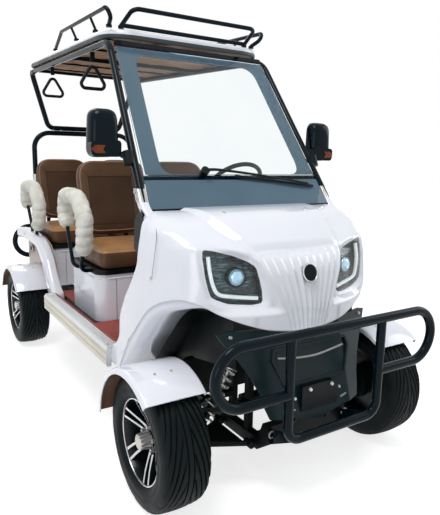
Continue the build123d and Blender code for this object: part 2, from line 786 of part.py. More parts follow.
with BuildPart() as front_bumper:
    add_bumper(FRONT_BUMPER_Y, 750, 525, 560, FRONT_UPRIGHT_X)
    add_tube(
        [
            (-FRONT_UPRIGHT_X, FRONT_BUMPER_Y, 745),
            (-FRONT_UPRIGHT_X, FRONT_BUMPER_Y, UPRIGHT_LOW_Z),
            (FRONT_UPRIGHT_X, FRONT_BUMPER_Y, UPRIGHT_LOW_Z),
            (FRONT_UPRIGHT_X, FRONT_BUMPER_Y, 745),
        ],
        BUMPER_TUBE - 1,
        60,
    )
    # Brackets back to the subframe
    for side in (-1, 1):
        x = sorted([side * (SUBFRAME_X - 6), side * (SUBFRAME_X + 6)])
        add_side_plate([(-1546, 318), (-1546, 350), (-1404, 300), (-1404, 240)], x[0], x[1])
front_bumper.part.label = "front_bumper"
export_step(front_bumper.part, "parts/front_bumper.step")

with BuildPart() as rear_bumper:
    add_bumper(REAR_BUMPER_Y, 800, 560, 560, 300)
    for side in (-1, 1):
        x = sorted([side * (RAIL_X - 15), side * (RAIL_X + 15)])
        add_side_plate([(1560, 545), (1545, 575), (1430, 430), (1430, 370)], x[0], x[1])
rear_bumper.part.label = "rear_bumper"
export_step(rear_bumper.part, "parts/rear_bumper.step")

PLATE_HOLE_SPACING = 116
PLATE_HOLE_RADIUS = 3.5

PLATE_LOW, PLATE_TOP = 384, 490
PLATE_BACK = apron_y(PLATE_LOW) - 0.5
PLATE_HOLE_Z = 474

with BuildPart() as plate:
    with BuildSketch(Plane(origin=(0, PLATE_BACK, 0), x_dir=(1, 0, 0), z_dir=(0, -1, 0))):
        with Locations((0, (PLATE_LOW + PLATE_TOP) / 2)):
            RectangleRounded(194, PLATE_TOP - PLATE_LOW, 8)
        with Locations((-PLATE_HOLE_SPACING / 2, PLATE_HOLE_Z), (PLATE_HOLE_SPACING / 2, PLATE_HOLE_Z)):
            Circle(PLATE_HOLE_RADIUS, mode=Mode.SUBTRACT)
    extrude(amount=4)
    # Wedges that hold it upright off the sloping apron
    for side in (-1, 1):
        x = sorted([side * 74, side * 82])
        add_side_plate([(PLATE_BACK, 386), (PLATE_BACK, 482), (apron_y(482), 482), (apron_y(386), 386)], *x)
plate.part.label = "number_plate"
export_step(plate.part, "parts/number_plate.step")

# Windscreen, its joint bar and the two screen posts

with BuildPart() as upper_glass:
    add_screen_pane(SCREEN_JOINT_Z + 8, SCREEN_TOP_Z, 0, GLASS_THICKNESS)
upper_glass.part.label = "windscreen_upper"
export_step(upper_glass.part, "parts/windscreen_upper.step")

with BuildPart() as lower_glass:
    add_screen_pane(SCREEN_LOW_Z + 8, SCREEN_JOINT_Z - 8, 0, GLASS_THICKNESS)
lower_glass.part.label = "windscreen_lower"
export_step(lower_glass.part, "parts/windscreen_lower.step")

with BuildPart() as screen_bars:
    add_screen_pane(SCREEN_JOINT_Z - 14, SCREEN_JOINT_Z + 14, -12, 11)
    add_screen_pane(SCREEN_LOW_Z - 12, SCREEN_LOW_Z + 7, -6, 16)
    add_screen_pane(SCREEN_TOP_Z + 2, SCREEN_TOP_Z + 26, -6, 16)
screen_bars.part.label = "windscreen_bars"
export_step(screen_bars.part, "parts/windscreen_bars.step")

POST_OUT = 24  # post centre beyond the edge of the glass
POST_LOW_Z = 1135
RAIL_DROP = POST_RADIUS + 4  # rail centre under the roof's edge
RAIL_FRONT_X, RAIL_REAR_X = 458, 420
RAIL_FRONT_Y, RAIL_REAR_Y = -369, 1250


def rail_point(y, side=1):
    """Middle of the roof's side rail at a given place along the vehicle."""
    share = (y - RAIL_FRONT_Y) / (RAIL_REAR_Y - RAIL_FRONT_Y)
    roof_share = (y - ROOF_FRONT_Y) / (ROOF_REAR_Y - ROOF_FRONT_Y)
    x = RAIL_FRONT_X + share * (RAIL_REAR_X - RAIL_FRONT_X)
    return (side * x, y, ROOF_FRONT_Z + roof_share * (ROOF_REAR_Z - ROOF_FRONT_Z) - RAIL_DROP)


# Each post bends at its top into a side rail that carries the roof
with BuildPart() as posts:
    add_tube(
        [
            (screen_half(POST_LOW_Z) + POST_OUT, screen_y(POST_LOW_Z) + 6, POST_LOW_Z),
            rail_point(RAIL_FRONT_Y),
            rail_point(RAIL_REAR_Y),
        ],
        POST_RADIUS,
        150,
    )
    mirror(about=Plane.YZ)
    for y in (350, RAIL_REAR_Y - 20):
        add_rod(rail_point(y, -1), rail_point(y), 11)
posts.part.label = "screen_posts"
export_step(posts.part, "parts/screen_posts.step")

# Dashboard, column, steering wheel and pedals

with BuildPart() as dashboard:
    add_side_plate(
        [(-925, 1000), (-925, 1135), (-890, 1150), (-760, 1150), (-700, 1090), (-690, 960), (-760, 930), (-880, 930)],
        -478,
        478,
    )
dashboard.part.label = "dashboard"
export_step(dashboard.part, "parts/dashboard.step")

STEER_X = 240
STEER_CENTRE = Vector(STEER_X, -440, 1235)
STEER_ALONG = Vector(0, cos(radians(45)), sin(radians(45)))  # towards the driver
STEER_RADIUS = 160
STEER_GRIP = 12

with BuildPart() as column:
    add_rod(tuple(STEER_CENTRE - STEER_ALONG * 330), tuple(STEER_CENTRE - STEER_ALONG * 70), 24)
column.part.label = "steering_column"
export_step(column.part, "parts/steering_column.step")

with BuildPart() as steering_wheel:
    add(Solid.make_torus(STEER_RADIUS, STEER_GRIP, Plane(origin=STEER_CENTRE, z_dir=tuple(STEER_ALONG))))
    with BuildSketch(Plane(origin=STEER_CENTRE - STEER_ALONG * 64, x_dir=(1, 0, 0), z_dir=tuple(STEER_ALONG))):
        Circle(34)
    extrude(amount=52)
    for angle in (0, 180, 270):
        direction = Vector(1, 0, 0) * cos(radians(angle)) + Vector(0, -sin(radians(45)), cos(radians(45))) * sin(
            radians(angle)
        )
        add_rod(
            tuple(STEER_CENTRE - STEER_ALONG * 30 + direction * 20),
            tuple(STEER_CENTRE + direction * (STEER_RADIUS - 3)),
            9,
        )
steering_wheel.part.label = "steering_wheel"
export_step(steering_wheel.part, "parts/steering_wheel.step")

with BuildPart() as pedals:
    for x in (180, 320):
        add_side_plate([(-845, 560), (-835, 566), (-800, 520), (-810, 514)], x - 35, x + 35)
        add_side_plate([(-870, 620), (-855, 620), (-826, 540), (-838, 536)], x - 6, x + 6)
pedals.part.label = "pedals"
export_step(pedals.part, "parts/pedals.step")

# Door mirrors with repeater arrows and arms to the posts

with BuildPart() as mirrors:
    add_block((550, -741, 1372), (690, -671, 1580))
    fillet(edges().filter_by(Axis.Z), 22)
    fillet(faces().sort_by(Axis.Z)[0].edges() + faces().sort_by(Axis.Z)[-1].edges(), 12)
    add_tube([(590, -706, 1430), (560, -712, 1398), (532, -760, 1374)], 10, 20)
    mirror(about=Plane.YZ)
mirrors.part.label = "door_mirrors"
export_step(mirrors.part, "parts/door_mirrors.step")

# Roof shell, lining, rack and grab handles

ROOF_TILT = atan2(ROOF_REAR_Z - ROOF_FRONT_Z, ROOF_REAR_Y - ROOF_FRONT_Y)
ROOF_PLANE = Plane(
    origin=(0, ROOF_FRONT_Y, ROOF_FRONT_Z),
    x_dir=(1, 0, 0),
    z_dir=(0, -sin(ROOF_TILT), cos(ROOF_TILT)),
)
ROOF_LENGTH = (ROOF_REAR_Y - ROOF_FRONT_Y) / cos(ROOF_TILT)


def roof_outline(inset, corner):
    """The roof seen from above, in its own tilted plane."""
    with BuildSketch(mode=Mode.PRIVATE) as outline:
        with BuildLine():
            Polyline(
                (-ROOF_FRONT_HALF + inset, inset),
                (ROOF_FRONT_HALF - inset, inset),
                (ROOF_REAR_HALF - inset, ROOF_LENGTH - inset),
                (-ROOF_REAR_HALF + inset, ROOF_LENGTH - inset),
                close=True,
            )
        make_face()
        fillet(outline.vertices(), corner)
    return outline.sketch


with BuildPart() as roof:
    with BuildSketch(ROOF_PLANE):
        add(roof_outline(0, ROOF_CORNER))
    extrude(amount=ROOF_DEPTH - ROOF_CROWN)
    with BuildSketch(ROOF_PLANE.offset(ROOF_DEPTH - ROOF_CROWN)):
        add(roof_outline(0, ROOF_CORNER))
    extrude(amount=ROOF_CROWN, taper=50)
    with BuildSketch(ROOF_PLANE):
        add(roof_outline(12, ROOF_CORNER - 12))
    extrude(amount=ROOF_DEPTH - 14, mode=Mode.SUBTRACT)
roof.part.label = "roof_shell"
export_step(roof.part, "parts/roof_shell.step")

with BuildPart() as lining:
    with BuildSketch(ROOF_PLANE.offset(22)):
        add(roof_outline(13, ROOF_CORNER - 13))
    extrude(amount=8)
lining.part.label = "roof_lining"
export_step(lining.part, "parts/roof_lining.step")

RACK_HEIGHT = 78


def roof_point(x, y, up):
    """A point above the roof's top at a given place."""
    share = (y - ROOF_FRONT_Y) / (ROOF_REAR_Y - ROOF_FRONT_Y)
    return (x, y, ROOF_FRONT_Z + share * (ROOF_REAR_Z - ROOF_FRONT_Z) + ROOF_DEPTH + up)


RACK_FOOT = 14  # height of the round feet


def add_rack_foot(x, y):
    """A round foot standing on the roof."""
    with BuildSketch(Plane(origin=roof_point(x, y, 0.5), z_dir=tuple(ROOF_PLANE.z_dir))) as face:
        Circle(RACK_TUBE + 4)
    extrude(face.sketch, amount=RACK_FOOT)


with BuildPart() as rack:
    for side in (-1, 1):
        add_tube(
            [
                roof_point(side * 430, -300, RACK_FOOT),
                roof_point(side * 466, -462, RACK_HEIGHT + 4),
                roof_point(side * 455, 415, RACK_HEIGHT),
                roof_point(side * 415, 700, RACK_FOOT),
            ],
            RACK_TUBE,
            28,
        )
        for x, y in [(430, -300), (415, 700), (432, -110), (428, 220), (372, -312)]:
            add_rack_foot(side * x, y)
        for y in (-110, 220):
            add_rod(roof_point(side * 430, y, RACK_FOOT), roof_point(side * 458, y, RACK_HEIGHT - 4), 7)
    add_rod(roof_point(-372, -312, RACK_FOOT + 4), roof_point(372, -312, RACK_FOOT + 4), RACK_TUBE)
    add_tube(
        [
            roof_point(-372, -312, RACK_FOOT),
            roof_point(-358, -436, RACK_HEIGHT),
            roof_point(358, -436, RACK_HEIGHT),
            roof_point(372, -312, RACK_FOOT),
        ],
        RACK_TUBE,
        40,
    )
rack.part.label = "roof_rack"
export_step(rack.part, "parts/roof_rack.step")

HANDLE_PLACES = [-110, 730]

with BuildPart() as grab_handles:
    for y in HANDLE_PLACES:
        x, y, z = rail_point(y, -1)
        top = z - POST_RADIUS - 2
        add_block((x - 12, y - 2, top - 52), (x + 12, y + 2, top))
        corners = [(x, y, top - 56), (x - 80, y, top - 186), (x + 80, y, top - 186), (x, y, top - 56)]
        add_tube(corners, 9, 22)
grab_handles.part.label = "grab_handles"
export_step(grab_handles.part, "parts/grab_handles.step")

# Rear hoops: a lower inverted U standing on the rails and an upper U hanging from the roof

HOOP_Y = 1420
LOWER_HOOP_HALF, LOWER_HOOP_TOP = 405, 1550
HOOP_TUBE = 19

with BuildPart() as lower_hoop:
    add_tube(
        [
            (-LOWER_HOOP_HALF, HOOP_Y, 800),
            (-LOWER_HOOP_HALF, HOOP_Y, LOWER_HOOP_TOP),
            (LOWER_HOOP_HALF, HOOP_Y, LOWER_HOOP_TOP),
            (LOWER_HOOP_HALF, HOOP_Y, 800),
        ],
        HOOP_TUBE,
        120,
    )
lower_hoop.part.label = "rear_hoop_lower"
export_step(lower_hoop.part, "parts/rear_hoop_lower.step")

UPPER_HOOP_Z = LOWER_HOOP_TOP + 2 * HOOP_TUBE + 1
HOOP_RAIL_START = Vector(rail_point(RAIL_REAR_Y + 5)) - Vector(0, 0, 2)
HOOP_RAIL_TURN = Vector(rail_point(RAIL_REAR_Y + 105)) - Vector(0, 0, 2)

with BuildPart() as upper_hoop:
    add_tube(
        [
            (-HOOP_RAIL_START.X, HOOP_RAIL_START.Y, HOOP_RAIL_START.Z),
            (-HOOP_RAIL_TURN.X, HOOP_RAIL_TURN.Y, HOOP_RAIL_TURN.Z),
            (-290, HOOP_Y, UPPER_HOOP_Z),
            (290, HOOP_Y, UPPER_HOOP_Z),
            (HOOP_RAIL_TURN.X, HOOP_RAIL_TURN.Y, HOOP_RAIL_TURN.Z),
            (HOOP_RAIL_START.X, HOOP_RAIL_START.Y, HOOP_RAIL_START.Z),
        ],
        HOOP_TUBE,
        60,
    )
upper_hoop.part.label = "rear_hoop_upper"
export_step(upper_hoop.part, "parts/rear_hoop_upper.step")

# Seats: a box under a tray, two cushions and two backs to each row

BOX_HALF = 470
BOX_LENGTH = 440
BOX_TOP = 722
BOX_CORNER = 70
CUSHION_LOW, CUSHION_TOP = 752, 885
CUSHION_LENGTH = 450
BACK_HEIGHT = 462
BACK_THICKNESS = 90
BACK_LEAN = 14  # degrees from upright
SEAT_ROWS = [SEAT_FRONT_Y, SEAT_FRONT_Y + SEAT_PITCH]


def add_rounded_plan(front, length, half, corner, low, high, mode=Mode.ADD):
    """An upright block with rounded front corners."""
    with BuildSketch(Plane.XY.offset(low)) as plan:
        with BuildLine():
            FilletPolyline(
                (half, front + length),
                (half, front),
                (-half, front),
                (-half, front + length),
                radius=corner,
            )
            Line((-half, front + length), (half, front + length))
        make_face()
    extrude(plan.sketch, amount=high - low, mode=mode)


with BuildPart() as seat_boxes:
    for y in SEAT_ROWS:
        add_rounded_plan(y, BOX_LENGTH, BOX_HALF, BOX_CORNER, FLOOR_TOP, BOX_TOP)
        add_rounded_plan(
            y + 6, BOX_LENGTH - 12, BOX_HALF - 6, BOX_CORNER - 6, FLOOR_TOP, BOX_TOP - 6, mode=Mode.SUBTRACT
        )
seat_boxes.part.label = "seat_boxes"
export_step(seat_boxes.part, "parts/seat_boxes.step")

with BuildPart() as seat_trays:
    for y in SEAT_ROWS:
        add_rounded_plan(y - 8, BOX_LENGTH + 16, BOX_HALF + 2, BOX_CORNER, BOX_TOP, CUSHION_LOW)
seat_trays.part.label = "seat_trays"
export_step(seat_trays.part, "parts/seat_trays.step")

with BuildPart() as cushions:
    for y in SEAT_ROWS:
        for side in (-1, 1):
            with Locations((side * SEAT_X, y + 205, (CUSHION_LOW + CUSHION_TOP) / 2)):
                Box(SEAT_WIDTH + 30, CUSHION_LENGTH, CUSHION_TOP - CUSHION_LOW)
    fillet(edges().filter_by(Axis.Z), 40)
    fillet(cushions.faces().filter_by(Axis.Z).edges(), 24)
cushions.part.label = "seat_cushions"
export_step(cushions.part, "parts/seat_cushions.step")

with BuildPart() as backs:
    for y in SEAT_ROWS:
        lean = Plane(
            origin=(0, y + 385, CUSHION_TOP + 5),
            x_dir=(1, 0, 0),
            z_dir=(0, -cos(radians(BACK_LEAN)), sin(radians(BACK_LEAN))),
        )
        with BuildSketch(lean) as face:
            for side in (-1, 1):
                with Locations((side * SEAT_X, BACK_HEIGHT / 2)):
                    RectangleRounded(SEAT_WIDTH, BACK_HEIGHT, 80)
        extrude(face.sketch, amount=BACK_THICKNESS)
backs.part.label = "seat_backs"
export_step(backs.part, "parts/seat_backs.step")

with BuildPart() as seat_frames:
    # Steel upright behind each seat back, standing on the tray
    for y in SEAT_ROWS:
        for side in (-1, 1):
            for x in (SEAT_X - 120, SEAT_X + 120):
                middle = side * x
                add_side_plate(
                    [
                        (y + 432, CUSHION_LOW),
                        (y + 432, 885),
                        (y + 390, 905),
                        (y + 456, 1170),
                        (y + 472, 1170),
                        (y + 446, 1000),
                        (y + 446, CUSHION_LOW),
                    ],
                    middle - 12,
                    middle + 12,
                )
seat_frames.part.label = "seat_frames"
export_step(seat_frames.part, "parts/seat_frames.step")

# Armrests: a bent tube each side of each row, with a padded sleeve round its top and front

ARM_X = 535
ARM_TUBE = 11
ARM_BEND = 40
PAD_RADIUS = 42


ARM_FOOT_Z = 737
ARM_FOOT_RISE = 30


def quarter_top(y):
    """Height of the rear quarter's upper edge near the rear axle."""
    return 821 + (y - 900) * 10 / 320


def armrest_points(side, y):
    """The bends of the armrest tube above a seat row that starts at y, from its rear leg to its front one."""
    x = side * ARM_X
    return [
        (x, y + 350, 1035),
        (x, y + 335, 1150),
        (x, y + 100, 1150),
        (x, y + 5, 1050),
        (x, y + 14, 930),
    ]


def armrest_leg(side, y, along, row):
    """The two ends of a leg: its foot on the seat box or rear quarter, and the bend above it."""
    x = side * ARM_X
    if row:
        foot = quarter_top(y + along)
        return (x, y + along, foot), (x, y + along, foot + ARM_FOOT_RISE)
    return (side * (BOX_HALF + 2.5), y + along, ARM_FOOT_Z), (x, y + along, ARM_FOOT_Z)


REAR_LEG, FRONT_LEG = 226, 95  # distance of each leg behind the front of the seat

with BuildPart() as armrests:
    for side in (-1, 1):
        for row, y in enumerate(SEAT_ROWS):
            rear_foot, rear_bend = armrest_leg(side, y, REAR_LEG, row)
            front_foot, front_bend = armrest_leg(side, y, FRONT_LEG, row)
            bends = [rear_foot, rear_bend, *armrest_points(side, y), front_bend, front_foot]
            add_tube(bends, ARM_TUBE, ARM_BEND)
armrests.part.label = "armrest_tubes"
export_step(armrests.part, "parts/armrest_tubes.step")


def between(start, end, share):
    """A point part of the way from one to another."""
    return tuple(Vector(start) + (Vector(end) - Vector(start)) * share)


with BuildPart() as pads:
    for side in (-1, 1):
        for row, y in enumerate(SEAT_ROWS):
            bends = armrest_points(side, y)
            start = between(bends[0], armrest_leg(side, y, REAR_LEG, row)[1], 0.16)
            end = between(bends[-1], armrest_leg(side, y, FRONT_LEG, row)[1], 0.75 if row else 0.36)
            with BuildLine() as path:
                FilletPolyline(start, *bends, end, radius=ARM_BEND)
            with BuildSketch(Plane(origin=path.line @ 0, z_dir=path.line % 0)) as section:
                Circle(PAD_RADIUS)
                Circle(ARM_TUBE + 0.5, mode=Mode.SUBTRACT)
            sweep(section.sketch, path=path.line)
pads.part.label = "armrest_pads"
export_step(pads.part, "parts/armrest_pads.step")

# Rear quarters, tail panel and deck

QUARTER_OUT_X = 560
# Y and Z of the quarter's upper edge, from the side step to the tail
QUARTER_TOP = [(422, 440), (422, 505), (480, 520), (560, 600), (640, 700), (760, 780), (900, 820), (1220, 830), (1450, 810)]
QUARTER_LOW = [(1450, 730), (1250, 745), (920, 735), (790, 690), (700, 610), (620, 500), (560, 440)]

with BuildPart() as quarters:
    for side in (-1, 1):
        x = sorted([side * 488, side * QUARTER_OUT_X])
        add_side_plate(QUARTER_TOP + QUARTER_LOW, x[0], x[1])
quarters.part.label = "rear_quarters"
export_step(quarters.part, "parts/rear_quarters.step")

with BuildPart() as inner_quarters:
    for side in (-1, 1):
        x = sorted([side * 474, side * 480])
        add_side_plate(
            [(560, 460), (640, 660), (760, 760), (900, 800), (1440, 800), (1440, 470), (1340, 470), (1230, 560), (880, 560), (760, 460)],
            x[0],
            x[1],
        )
inner_quarters.part.label = "inner_quarters"
export_step(inner_quarters.part, "parts/inner_quarters.step")

with BuildPart() as tail:
    add_block((-474, 1432, 470), (474, 1440, 800))
    add_block((-474, 1270, 792), (474, 1432, 800))
tail.part.label = "tail_panel"
export_step(tail.part, "parts/tail_panel.step")

with BuildPart() as marker_lamps:
    for side in (-1, 1):
        with BuildSketch(Plane.YZ.offset(side * 480)):
            with Locations((1300, 660)):
                Ellipse(45, 22)
        extrude(amount=side * 10)
marker_lamps.part.label = "marker_lamps"
export_step(marker_lamps.part, "parts/marker_lamps.step")

with BuildPart() as rear_guards:
    for side in (-1, 1):
        add_guard(side, REAR_AXLE_Y, GUARD_IN_X + 4, REAR_GUARD_OUT_X, 33, 161)
rear_guards.part.label = "rear_mudguards"
export_step(rear_guards.part, "parts/rear_mudguards.step")
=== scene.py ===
import math
import random

import bmesh
import bpy
from mathutils import Matrix, Vector


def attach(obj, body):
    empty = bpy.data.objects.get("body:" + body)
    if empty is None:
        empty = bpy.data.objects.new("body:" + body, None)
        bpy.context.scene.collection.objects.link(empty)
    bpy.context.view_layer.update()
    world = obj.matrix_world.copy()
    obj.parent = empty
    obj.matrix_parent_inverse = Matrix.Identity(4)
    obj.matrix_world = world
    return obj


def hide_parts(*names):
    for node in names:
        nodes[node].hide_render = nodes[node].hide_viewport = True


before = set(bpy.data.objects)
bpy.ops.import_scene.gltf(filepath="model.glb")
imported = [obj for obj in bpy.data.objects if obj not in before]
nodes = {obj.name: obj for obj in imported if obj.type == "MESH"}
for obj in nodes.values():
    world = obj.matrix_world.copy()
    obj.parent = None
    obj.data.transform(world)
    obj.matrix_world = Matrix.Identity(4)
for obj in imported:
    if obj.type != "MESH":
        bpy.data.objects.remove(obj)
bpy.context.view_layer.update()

# Camera and studio: a standing viewer's eye in front of the right-hand front wheel,
# a pale floor, one broad soft lamp over the viewer's shoulder and two weaker fills.

CAMERA_PLACE = Vector((-1.4465, -2.964, 1.3804))
CAMERA_YAW, CAMERA_PITCH, CAMERA_ROLL = -32.4174, 10.5973, 1.0688
LENS, SENSOR = 37.217, 36.0

yaw, pitch, roll = (math.radians(a) for a in (CAMERA_YAW, CAMERA_PITCH, CAMERA_ROLL))
looking = Vector((-math.sin(yaw) * math.cos(pitch), math.cos(yaw) * math.cos(pitch), -math.sin(pitch)))
level_right = Vector((math.cos(yaw), math.sin(yaw), 0))
level_up = level_right.cross(looking)
picture_right = level_right * math.cos(roll) + level_up * math.sin(roll)
picture_up = level_up * math.cos(roll) - level_right * math.sin(roll)

camera_data = bpy.data.cameras.new("camera")
camera_data.sensor_width = SENSOR
camera_data.lens = LENS
camera = bpy.data.objects.new("camera", camera_data)
bpy.context.scene.collection.objects.link(camera)
turn = Matrix((picture_right, picture_up, -looking)).transposed().to_4x4()
camera.matrix_world = Matrix.Translation(CAMERA_PLACE) @ turn
bpy.context.scene.camera = camera
bpy.context.scene.view_settings.view_transform = "Standard"


def seen_directly(tree):
    """A mask of the rays that show the surroundings: camera, mirror and glass rays."""
    path = tree.nodes.new("ShaderNodeLightPath")
    first = tree.nodes.new("ShaderNodeMath")
    first.operation = "MAXIMUM"
    second = tree.nodes.new("ShaderNodeMath")
    second.operation = "MAXIMUM"
    tree.links.new(path.outputs["Is Camera Ray"], first.inputs[0])
    tree.links.new(path.outputs["Is Glossy Ray"], first.inputs[1])
    tree.links.new(first.outputs[0], second.inputs[0])
    tree.links.new(path.outputs["Is Transmission Ray"], second.inputs[1])
    return second.outputs[0]


world = bpy.data.worlds.new("studio")
bpy.context.scene.world = world
world.use_nodes = True
tree = world.node_tree
tree.nodes.clear()
sky_seen = tree.nodes.new("ShaderNodeBackground")
sky_seen.inputs["Color"].default_value = (1, 1, 1, 1)
sky_seen.inputs["Strength"].default_value = 1.0
sky_light = tree.nodes.new("ShaderNodeBackground")
sky_light.inputs["Color"].default_value = (0.93, 0.96, 1, 1)
# The light from the surroundings is stronger from above than from the sides
sky_place = tree.nodes.new("ShaderNodeTexCoord")
sky_height = tree.nodes.new("ShaderNodeSeparateXYZ")
sky_strength = tree.nodes.new("ShaderNodeMapRange")
sky_strength.inputs["From Min"].default_value = -0.1
sky_strength.inputs["From Max"].default_value = 0.9
sky_strength.inputs["To Min"].default_value = 0.26
sky_strength.inputs["To Max"].default_value = 0.6
tree.links.new(sky_place.outputs["Generated"], sky_height.inputs[0])
tree.links.new(sky_height.outputs["Z"], sky_strength.inputs["Value"])
tree.links.new(sky_strength.outputs[0], sky_light.inputs["Strength"])
sky_mix = tree.nodes.new("ShaderNodeMixShader")
sky_out = tree.nodes.new("ShaderNodeOutputWorld")
tree.links.new(seen_directly(tree), sky_mix.inputs[0])
tree.links.new(sky_light.outputs[0], sky_mix.inputs[1])
tree.links.new(sky_seen.outputs[0], sky_mix.inputs[2])
tree.links.new(sky_mix.outputs[0], sky_out.inputs["Surface"])

floor_material = bpy.data.materials.new("studio_floor")
floor_material.use_nodes = True
tree = floor_material.node_tree
tree.nodes.clear()
floor_glow = tree.nodes.new("ShaderNodeEmission")
floor_glow.inputs["Strength"].default_value = 0.74
floor_lit = tree.nodes.new("ShaderNodeBsdfDiffuse")
floor_lit.inputs["Color"].default_value = (0.6, 0.6, 0.6, 1)
floor_sum = tree.nodes.new("ShaderNodeAddShader")
floor_plain = tree.nodes.new("ShaderNodeBsdfDiffuse")
floor_plain.inputs["Color"].default_value = (0.75, 0.75, 0.75, 1)
floor_mix = tree.nodes.new("ShaderNodeMixShader")
floor_out = tree.nodes.new("ShaderNodeOutputMaterial")
tree.links.new(floor_glow.outputs[0], floor_sum.inputs[0])
tree.links.new(floor_lit.outputs[0], floor_sum.inputs[1])
tree.links.new(seen_directly(tree), floor_mix.inputs[0])
tree.links.new(floor_plain.outputs[0], floor_mix.inputs[1])
tree.links.new(floor_sum.outputs[0], floor_mix.inputs[2])
tree.links.new(floor_mix.outputs[0], floor_out.inputs["Surface"])


def new_object(name, verts, faces, materials=(), body=None, smooth=True):
    """A mesh object in the frame's place, dressed and riding on a body."""
    mesh = bpy.data.meshes.new(name)
    mesh.from_pydata([tuple(v) for v in verts], [], [tuple(f) for f in faces])
    mesh.update()
    obj = bpy.data.objects.new(name, mesh)
    bpy.context.scene.collection.objects.link(obj)
    for material in materials:
        mesh.materials.append(material)
    for polygon in mesh.polygons:
        polygon.use_smooth = smooth
    if body:
        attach(obj, body)
    return obj


FLOOR_REACH = 30.0
floor_corners = [(-1, -1), (1, -1), (1, 1), (-1, 1)]
floor = new_object(
    "studio_floor",
    [(x * FLOOR_REACH, y * FLOOR_REACH, -0.001) for x, y in floor_corners],
    [(0, 1, 2, 3)],
    [floor_material],
)

# place, aim, size, power in watts
LAMPS = [
    ((-1.8, -1.6, 5.4), (0, -0.3, 0.8), 2.2, 118),
    ((-4.2, -3.4, 1.6), (0, -0.2, 0.7), 2.4, 30),
    ((4.5, -2.0, 3.2), (0, 0, 0.9), 3.0, 45),
    ((0.5, 4.5, 4.0), (0, 0.5, 1.0), 3.0, 60),
]
for number, (place, aim, size, power) in enumerate(LAMPS):
    lamp_data = bpy.data.lights.new(f"lamp_{number}", "AREA")
    lamp_data.shape = "DISK"
    lamp_data.size = size
    lamp_data.energy = power
    lamp = bpy.data.objects.new(f"lamp_{number}", lamp_data)
    bpy.context.scene.collection.objects.link(lamp)
    lamp.location = place
    lamp.rotation_euler = (Vector(aim) - Vector(place)).to_track_quat("-Z", "Y").to_euler()

# Chassis: a welded ladder frame with a low subframe in front, wishbones, a live rear axle and its
# motor, all brushed with black chassis paint; bolted rods are left in bare zinc.


def node_group(name, inputs, outputs):
    """An empty shader node group with named sockets, and its inside input and output nodes."""
    group = bpy.data.node_groups.new(name, "ShaderNodeTree")
    for label, kind, value in inputs:
        socket = group.interface.new_socket(name=label, in_out="INPUT", socket_type=kind)
        socket.default_value = value
    for label, kind in outputs:
        group.interface.new_socket(name=label, in_out="OUTPUT", socket_type=kind)
    return group, group.nodes.new("NodeGroupInput"), group.nodes.new("NodeGroupOutput")


FLOAT, COLOUR = "NodeSocketFloat", "NodeSocketColor"

# Painted and moulded surfaces are never even: every finish takes its colour, gloss and fine relief
# from this one pattern, with sizes of its own
worn_surface, inside, outside = node_group(
    "worn_surface",
    [
        ("Colour", COLOUR, (0.8, 0.8, 0.8, 1)),
        ("Second Colour", COLOUR, (0.7, 0.7, 0.7, 1)),
        ("Patch Scale", FLOAT, 4.0),
        ("Grain Scale", FLOAT, 300.0),
        ("Glossy", FLOAT, 0.2),
        ("Dull", FLOAT, 0.3),
    ],
    [("Colour", COLOUR), ("Roughness", FLOAT), ("Height", FLOAT)],
)
links = worn_surface.links
place = worn_surface.nodes.new("ShaderNodeTexCoord")
patches = worn_surface.nodes.new("ShaderNodeTexNoise")
patches.inputs["Detail"].default_value = 4
patch_edge = worn_surface.nodes.new("ShaderNodeMapRange")
patch_edge.inputs["From Min"].default_value = 0.35
patch_edge.inputs["From Max"].default_value = 0.65
grain = worn_surface.nodes.new("ShaderNodeTexNoise")
grain.inputs["Detail"].default_value = 2
colours = worn_surface.nodes.new("ShaderNodeMix")
colours.data_type = "RGBA"
gloss = worn_surface.nodes.new("ShaderNodeMix")
for texture, scale in ((patches, "Patch Scale"), (grain, "Grain Scale")):
    links.new(place.outputs["Object"], texture.inputs["Vector"])
    links.new(inside.outputs[scale], texture.inputs["Scale"])
links.new(patches.outputs["Fac"], patch_edge.inputs["Value"])
links.new(patch_edge.outputs[0], colours.inputs["Factor"])
links.new(inside.outputs["Colour"], colours.inputs["A"])
links.new(inside.outputs["Second Colour"], colours.inputs["B"])
links.new(patch_edge.outputs[0], gloss.inputs["Factor"])
links.new(inside.outputs["Glossy"], gloss.inputs["A"])
links.new(inside.outputs["Dull"], gloss.inputs["B"])
links.new(colours.outputs["Result"], outside.inputs["Colour"])
links.new(gloss.outputs["Result"], outside.inputs["Roughness"])
links.new(grain.outputs["Fac"], outside.inputs["Height"])


def finish(name, colour, second, glossy, dull, patch=4, grain=300, bump=0.05, **sockets):
    """A finish that varies over the surface: two close colours, two roughnesses and a fine grain."""
    material = bpy.data.materials.new(name)
    material.use_nodes = True
    tree = material.node_tree
    shader = tree.nodes["Principled BSDF"]
    surface = tree.nodes.new("ShaderNodeGroup")
    surface.node_tree = worn_surface
    surface.inputs["Colour"].default_value = (*colour, 1)
    surface.inputs["Second Colour"].default_value = (*second, 1)
    surface.inputs["Patch Scale"].default_value = patch
    surface.inputs["Grain Scale"].default_value = grain
    surface.inputs["Glossy"].default_value = glossy
    surface.inputs["Dull"].default_value = dull
    relief = tree.nodes.new("ShaderNodeBump")
    relief.inputs["Strength"].default_value = bump
    relief.inputs["Distance"].default_value = 0.001
    tree.links.new(surface.outputs["Colour"], shader.inputs["Base Color"])
    tree.links.new(surface.outputs["Roughness"], shader.inputs["Roughness"])
    tree.links.new(surface.outputs["Height"], relief.inputs["Height"])
    tree.links.new(relief.outputs["Normal"], shader.inputs["Normal"])
    for socket, value in sockets.items():
        shader.inputs[socket.replace("_", " ")].default_value = value
    return material


